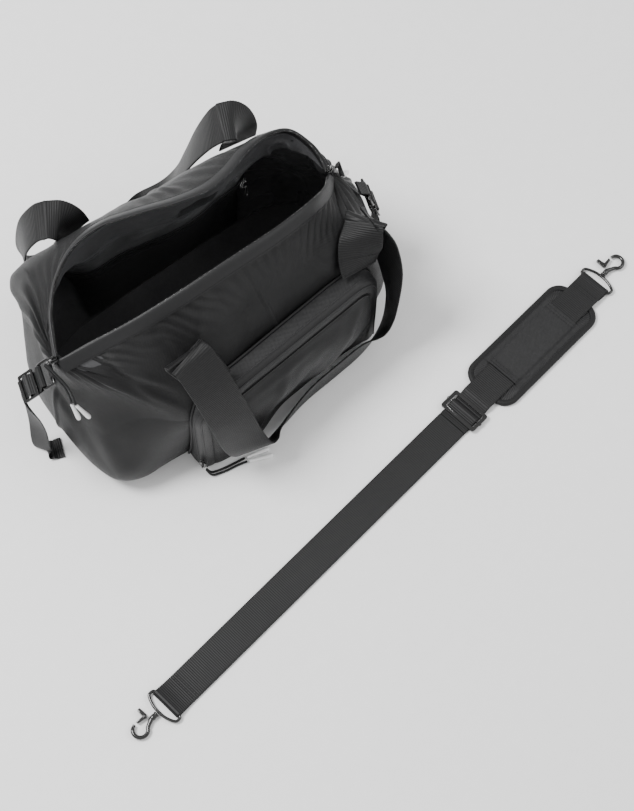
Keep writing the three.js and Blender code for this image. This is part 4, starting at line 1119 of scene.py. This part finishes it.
STRAP_AT, TURN = np.array([-302.0, -329.0, 0.0]), math.radians(8)
LENGTH, ADJUSTER, PAD, PAD_LONG, PAD_WIDE = 711, 478, 598, 173, 70
FOLD, OVER_PAD, RADIUS = 4.1, 6.95, 3.05
ALONG = np.array([math.cos(TURN), math.sin(TURN), 0])
ACROSS = np.array([-math.sin(TURN), math.cos(TURN), 0])


def strap_point(p):
    p = np.asarray(p, float)
    return STRAP_AT + p[..., :1] * ALONG + p[..., 1:2] * ACROSS + p[..., 2:] * np.array([0, 0, 1])


PAD_START, PAD_END = PAD - PAD_LONG / 2, PAD + PAD_LONG / 2
STRAP_RUN = [
    (LENGTH - 14, 3.2), (LENGTH - 8, 1.9), (LENGTH, FOLD - RADIUS), (LENGTH + RADIUS, FOLD),
    (LENGTH, FOLD + RADIUS), (LENGTH - 8, OVER_PAD), (PAD_END, OVER_PAD), (PAD_END - 40, OVER_PAD),
    (PAD_START + 40, OVER_PAD), (PAD_START, OVER_PAD), (PAD_START - 11, 6.8), (PAD_START - 15, 5.4),
    (PAD_START - 18, 3.8), (PAD_START - 23, 2), (PAD_START - 29, 1.2), (ADJUSTER - 4, 1.1),
    (ADJUSTER - 16, 1.1), (ADJUSTER - 58, 1.1), (240, 1.1), (60, 1.1), (24, 1.1), (14, 1.1), (4, 1.1),
    (0, FOLD - RADIUS), (-RADIUS, FOLD), (0, FOLD + RADIUS), (5, 6), (14, 4), (27, 3.1), (60, 3.1),
    (120, 3.1), (240, 3.1), (ADJUSTER - 21, 3.1),
]
ribbon("strap_cloth", [strap_point([x, 0, z]) for x, z in STRAP_RUN], [ACROSS] * len(STRAP_RUN), 38, 1.5,
       WEBBING, "strap", ("strap_webbing",))
WRAP = [(-20, 3.1), (-14, 3.1), (-9, 3.6), (-4, 6.6), (0, 8.2), (3.6, 6.4), (3.2, 3.9), (0.5, 3.0)]
ribbon("adjuster_wrap", [strap_point([ADJUSTER + x, 0, z]) for x, z in WRAP], [ACROSS] * len(WRAP), 38, 1.4,
       WEBBING, "strap_adjuster")
bevelled("strap_adjuster", METAL, 1.0)
bevelled("strap_adjuster_bar", METAL, 0.3)
for sign, side in ((-1, "near"), (1, "far")):
    rivet = [strap_point([ADJUSTER, sign * y, 5.6]) for y in (24.4, 25.2, 26.0)]
    tube(f"adjuster_rivet_{side}", rivet, [2.1, 2.0, 1.2], METAL, "strap_adjuster", steps=8)
for name, x, step, z in (("lower", 24, 5, 4.0), ("upper", LENGTH - 16, -5, 7.8)):
    for letter, at in (("a", x), ("b", x + step)):
        row = strap_point([[at, y, z] for y in np.linspace(-16, 16, 30)])
        stitches(f"strap_stitches_{name}_{letter}", row, (0, 0, 1), THREAD, "strap")


def pad_outline(grow, count=160):
    """Rounded rectangle of the pad, as local x and y."""
    a, b, r = PAD_LONG / 2 + grow, PAD_WIDE / 2 + grow, 20 + grow
    points = []
    for cx, cy, start in ((a - r, b - r, 0), (r - a, b - r, 90), (r - a, r - b, 180), (a - r, r - b, 270)):
        for angle in np.radians(start + np.linspace(0, 90, count // 4)):
            points.append((cx + r * math.cos(angle), cy + r * math.sin(angle)))
    return np.array(points)


def make_pad():
    rows = []
    edge = pad_outline(-2.2)
    for share in np.linspace(1, 0.02, 30):
        flat = edge * [share, share]
        rise = 6.1 - 2.8 * share ** 6 + 1.1 * smooth(np.abs(flat[:, 1]), 19, 26) * (1 - share ** 8)
        rise = rise + 0.25 * lumps(np.column_stack([flat, 0 * rise]), 12, 61)
        rows.append(np.column_stack([flat[:, 0] + PAD, flat[:, 1], rise]))
    for share in np.linspace(0.02, 1, 12):
        flat = edge * [share, share]
        rows.insert(0, np.column_stack([flat[:, 0] + PAD, flat[:, 1], np.full(len(flat), 0.5)]))
    rings = strap_point(np.array(rows))
    p, faces, uv = sweep(rings)
    pad = piece("pad_cushion", p, faces, DOBBY, "strap_pad", uv, ("shoulder_pad",), 60)
    edge = pad_outline(-2.6, 220)
    line = strap_point(np.column_stack([edge[:, 0] + PAD, edge[:, 1], np.full(len(edge), 3.3)]))
    ring = np.concatenate([line[-1:], line, line[:1]])
    tangent = unit(ring[2:] - ring[:-2])
    outward = unit(np.cross(tangent, [0, 0, 1]))
    section = [(-3.4, 2.4), (-1.5, 3.0), (1.2, 2.9), (2.6, 1.8), (3.0, 0), (2.6, -1.8), (1.2, -2.8),
               (-3.4, -2.7)]
    rings = np.stack([line + outward * a + np.array([0, 0, 1]) * b for a, b in section], axis=1)
    p, faces, uv = sweep(rings, loop=True)
    piece("pad_binding", p, faces, BINDING, "strap_pad", uv, (), 60)
    seam = line - outward * 1.8 + np.array([0, 0, 3.0])
    stitches("pad_binding_stitches", seam, (0, 0, 1), THREAD, "strap_pad")
    u, v = np.meshgrid(np.linspace(-54, 54, 120), np.linspace(-27, 27, 60))
    lift = 6.6 + 2.1 * smooth(22.5 - np.abs(v), 0, 4)
    lift = lift + 0.25 * lumps(np.stack([u, v, 0 * u], axis=2), 9, 63) + 0.3 * smooth(np.abs(u), 44, 54)
    grid = strap_point(np.stack([u + PAD, v, lift], axis=2))
    cloth("pad_sleeve_cloth", grid, 0.9, DOBBY, "strap_pad", replaces=("pad_sleeve",))
    for x in (-51, -47, 47, 51):
        row = strap_point([[PAD + x, y, 9.2] for y in np.linspace(-21, 21, 40)])
        stitches(f"sleeve_stitches_{'ab'[x > 0]}{abs(x)}", row, (0, 0, 1), THREAD, "strap_pad")


make_pad()


# ---- clasps -------------------------------------------------------------------------------

def clasp(end, x, sign, flip):
    """A trigger clasp: wire loop, hook on its swivel, sprung gate, pin and spring."""
    turn = np.array([sign, sign, 1.0])
    place = lambda p: strap_point(np.array([x, 0, FOLD]) + np.array(p, float) * turn)
    loop = [
        [0, -19, 0], [0, -7, 0], [0, 7, 0], [0, 19, 0], [3.6, 21.5, 0], [8, 20, 0], [12, 10, 0],
        [13, 0, 0], [12, -10, 0], [8, -20, 0], [3.6, -21.5, 0],
    ]
    tube(f"{end}_clasp_loop_wire", [place(p) for p in loop], 1.7, METAL, f"{end}_loop",
         closed=True, steps=140, replaces=(f"{end}_clasp_loop",))
    centre = 40
    body = [(15.4, 0, 3.2), (16.2, 0, 3.5), (17, 0, 3.4), (18.2, 0, 2.9), (19.4, 0, 3.4), (22.5, 0, 3.3),
            (25, -0.5, 2.7)]
    for i in range(12):
        angle = math.pi + 0.5 + i * 4.1 / 11
        body.append((centre + 8.4 * math.cos(angle), 8.4 * math.sin(angle), 2.3 if i < 10 else 1.9))
    path = catmull([[a, b * flip, 0] for a, b, _ in body], np.linspace(0, 1, 150))
    radii = catmull([[r, 0, 0] for _, _, r in body], np.linspace(0, 1, 150))[:, 0]
    tube(f"{end}_clasp_hook_body", np.array([place(p) for p in path]), radii, METAL, f"{end}_hook",
         straight=True, replaces=(f"{end}_clasp_hook",))
    bevelled(f"{end}_clasp_gate", METAL, 0.45)
    bevelled(f"{end}_clasp_pin", METAL, 0.2)
    bevelled(f"{end}_clasp_spring", METAL, 0.15)


clasp("lower", 0, -1, -1)
clasp("upper", LENGTH, 1, 1)


# ---- floor and light ----------------------------------------------------------------------

def area(name, where, size, power, target=(0, 0, 0.1)):
    light = bpy.data.lights.new(name, "AREA")
    light.shape = "DISK"
    light.size = size
    light.energy = power
    obj = bpy.data.objects.new(name, light)
    bpy.context.scene.collection.objects.link(obj)
    obj.location = where
    obj.rotation_euler = (Vector(target) - Vector(where)).to_track_quat("-Z", "Y").to_euler()


floor_mesh = bpy.data.meshes.new("floor")
floor_mesh.from_pydata([(-6, -6, 0), (6, -6, 0), (6, 6, 0), (-6, 6, 0)], [], [(0, 1, 2, 3)])
floor_mesh.materials.append(solid("floor", 0.8, 0.84, 0.8))
floor = bpy.data.objects.new("floor", floor_mesh)
bpy.context.scene.collection.objects.link(floor)

world = bpy.data.worlds.new("studio")
world.use_nodes = True
world.node_tree.nodes["Background"].inputs[0].default_value = (1, 1, 1, 1)
world.node_tree.nodes["Background"].inputs[1].default_value = 1.0
bpy.context.scene.world = world
area("key", (-0.9, 0.7, 2.2), 1.0, 84)
area("fill", (1.6, -1.2, 2.0), 1.4, 20)
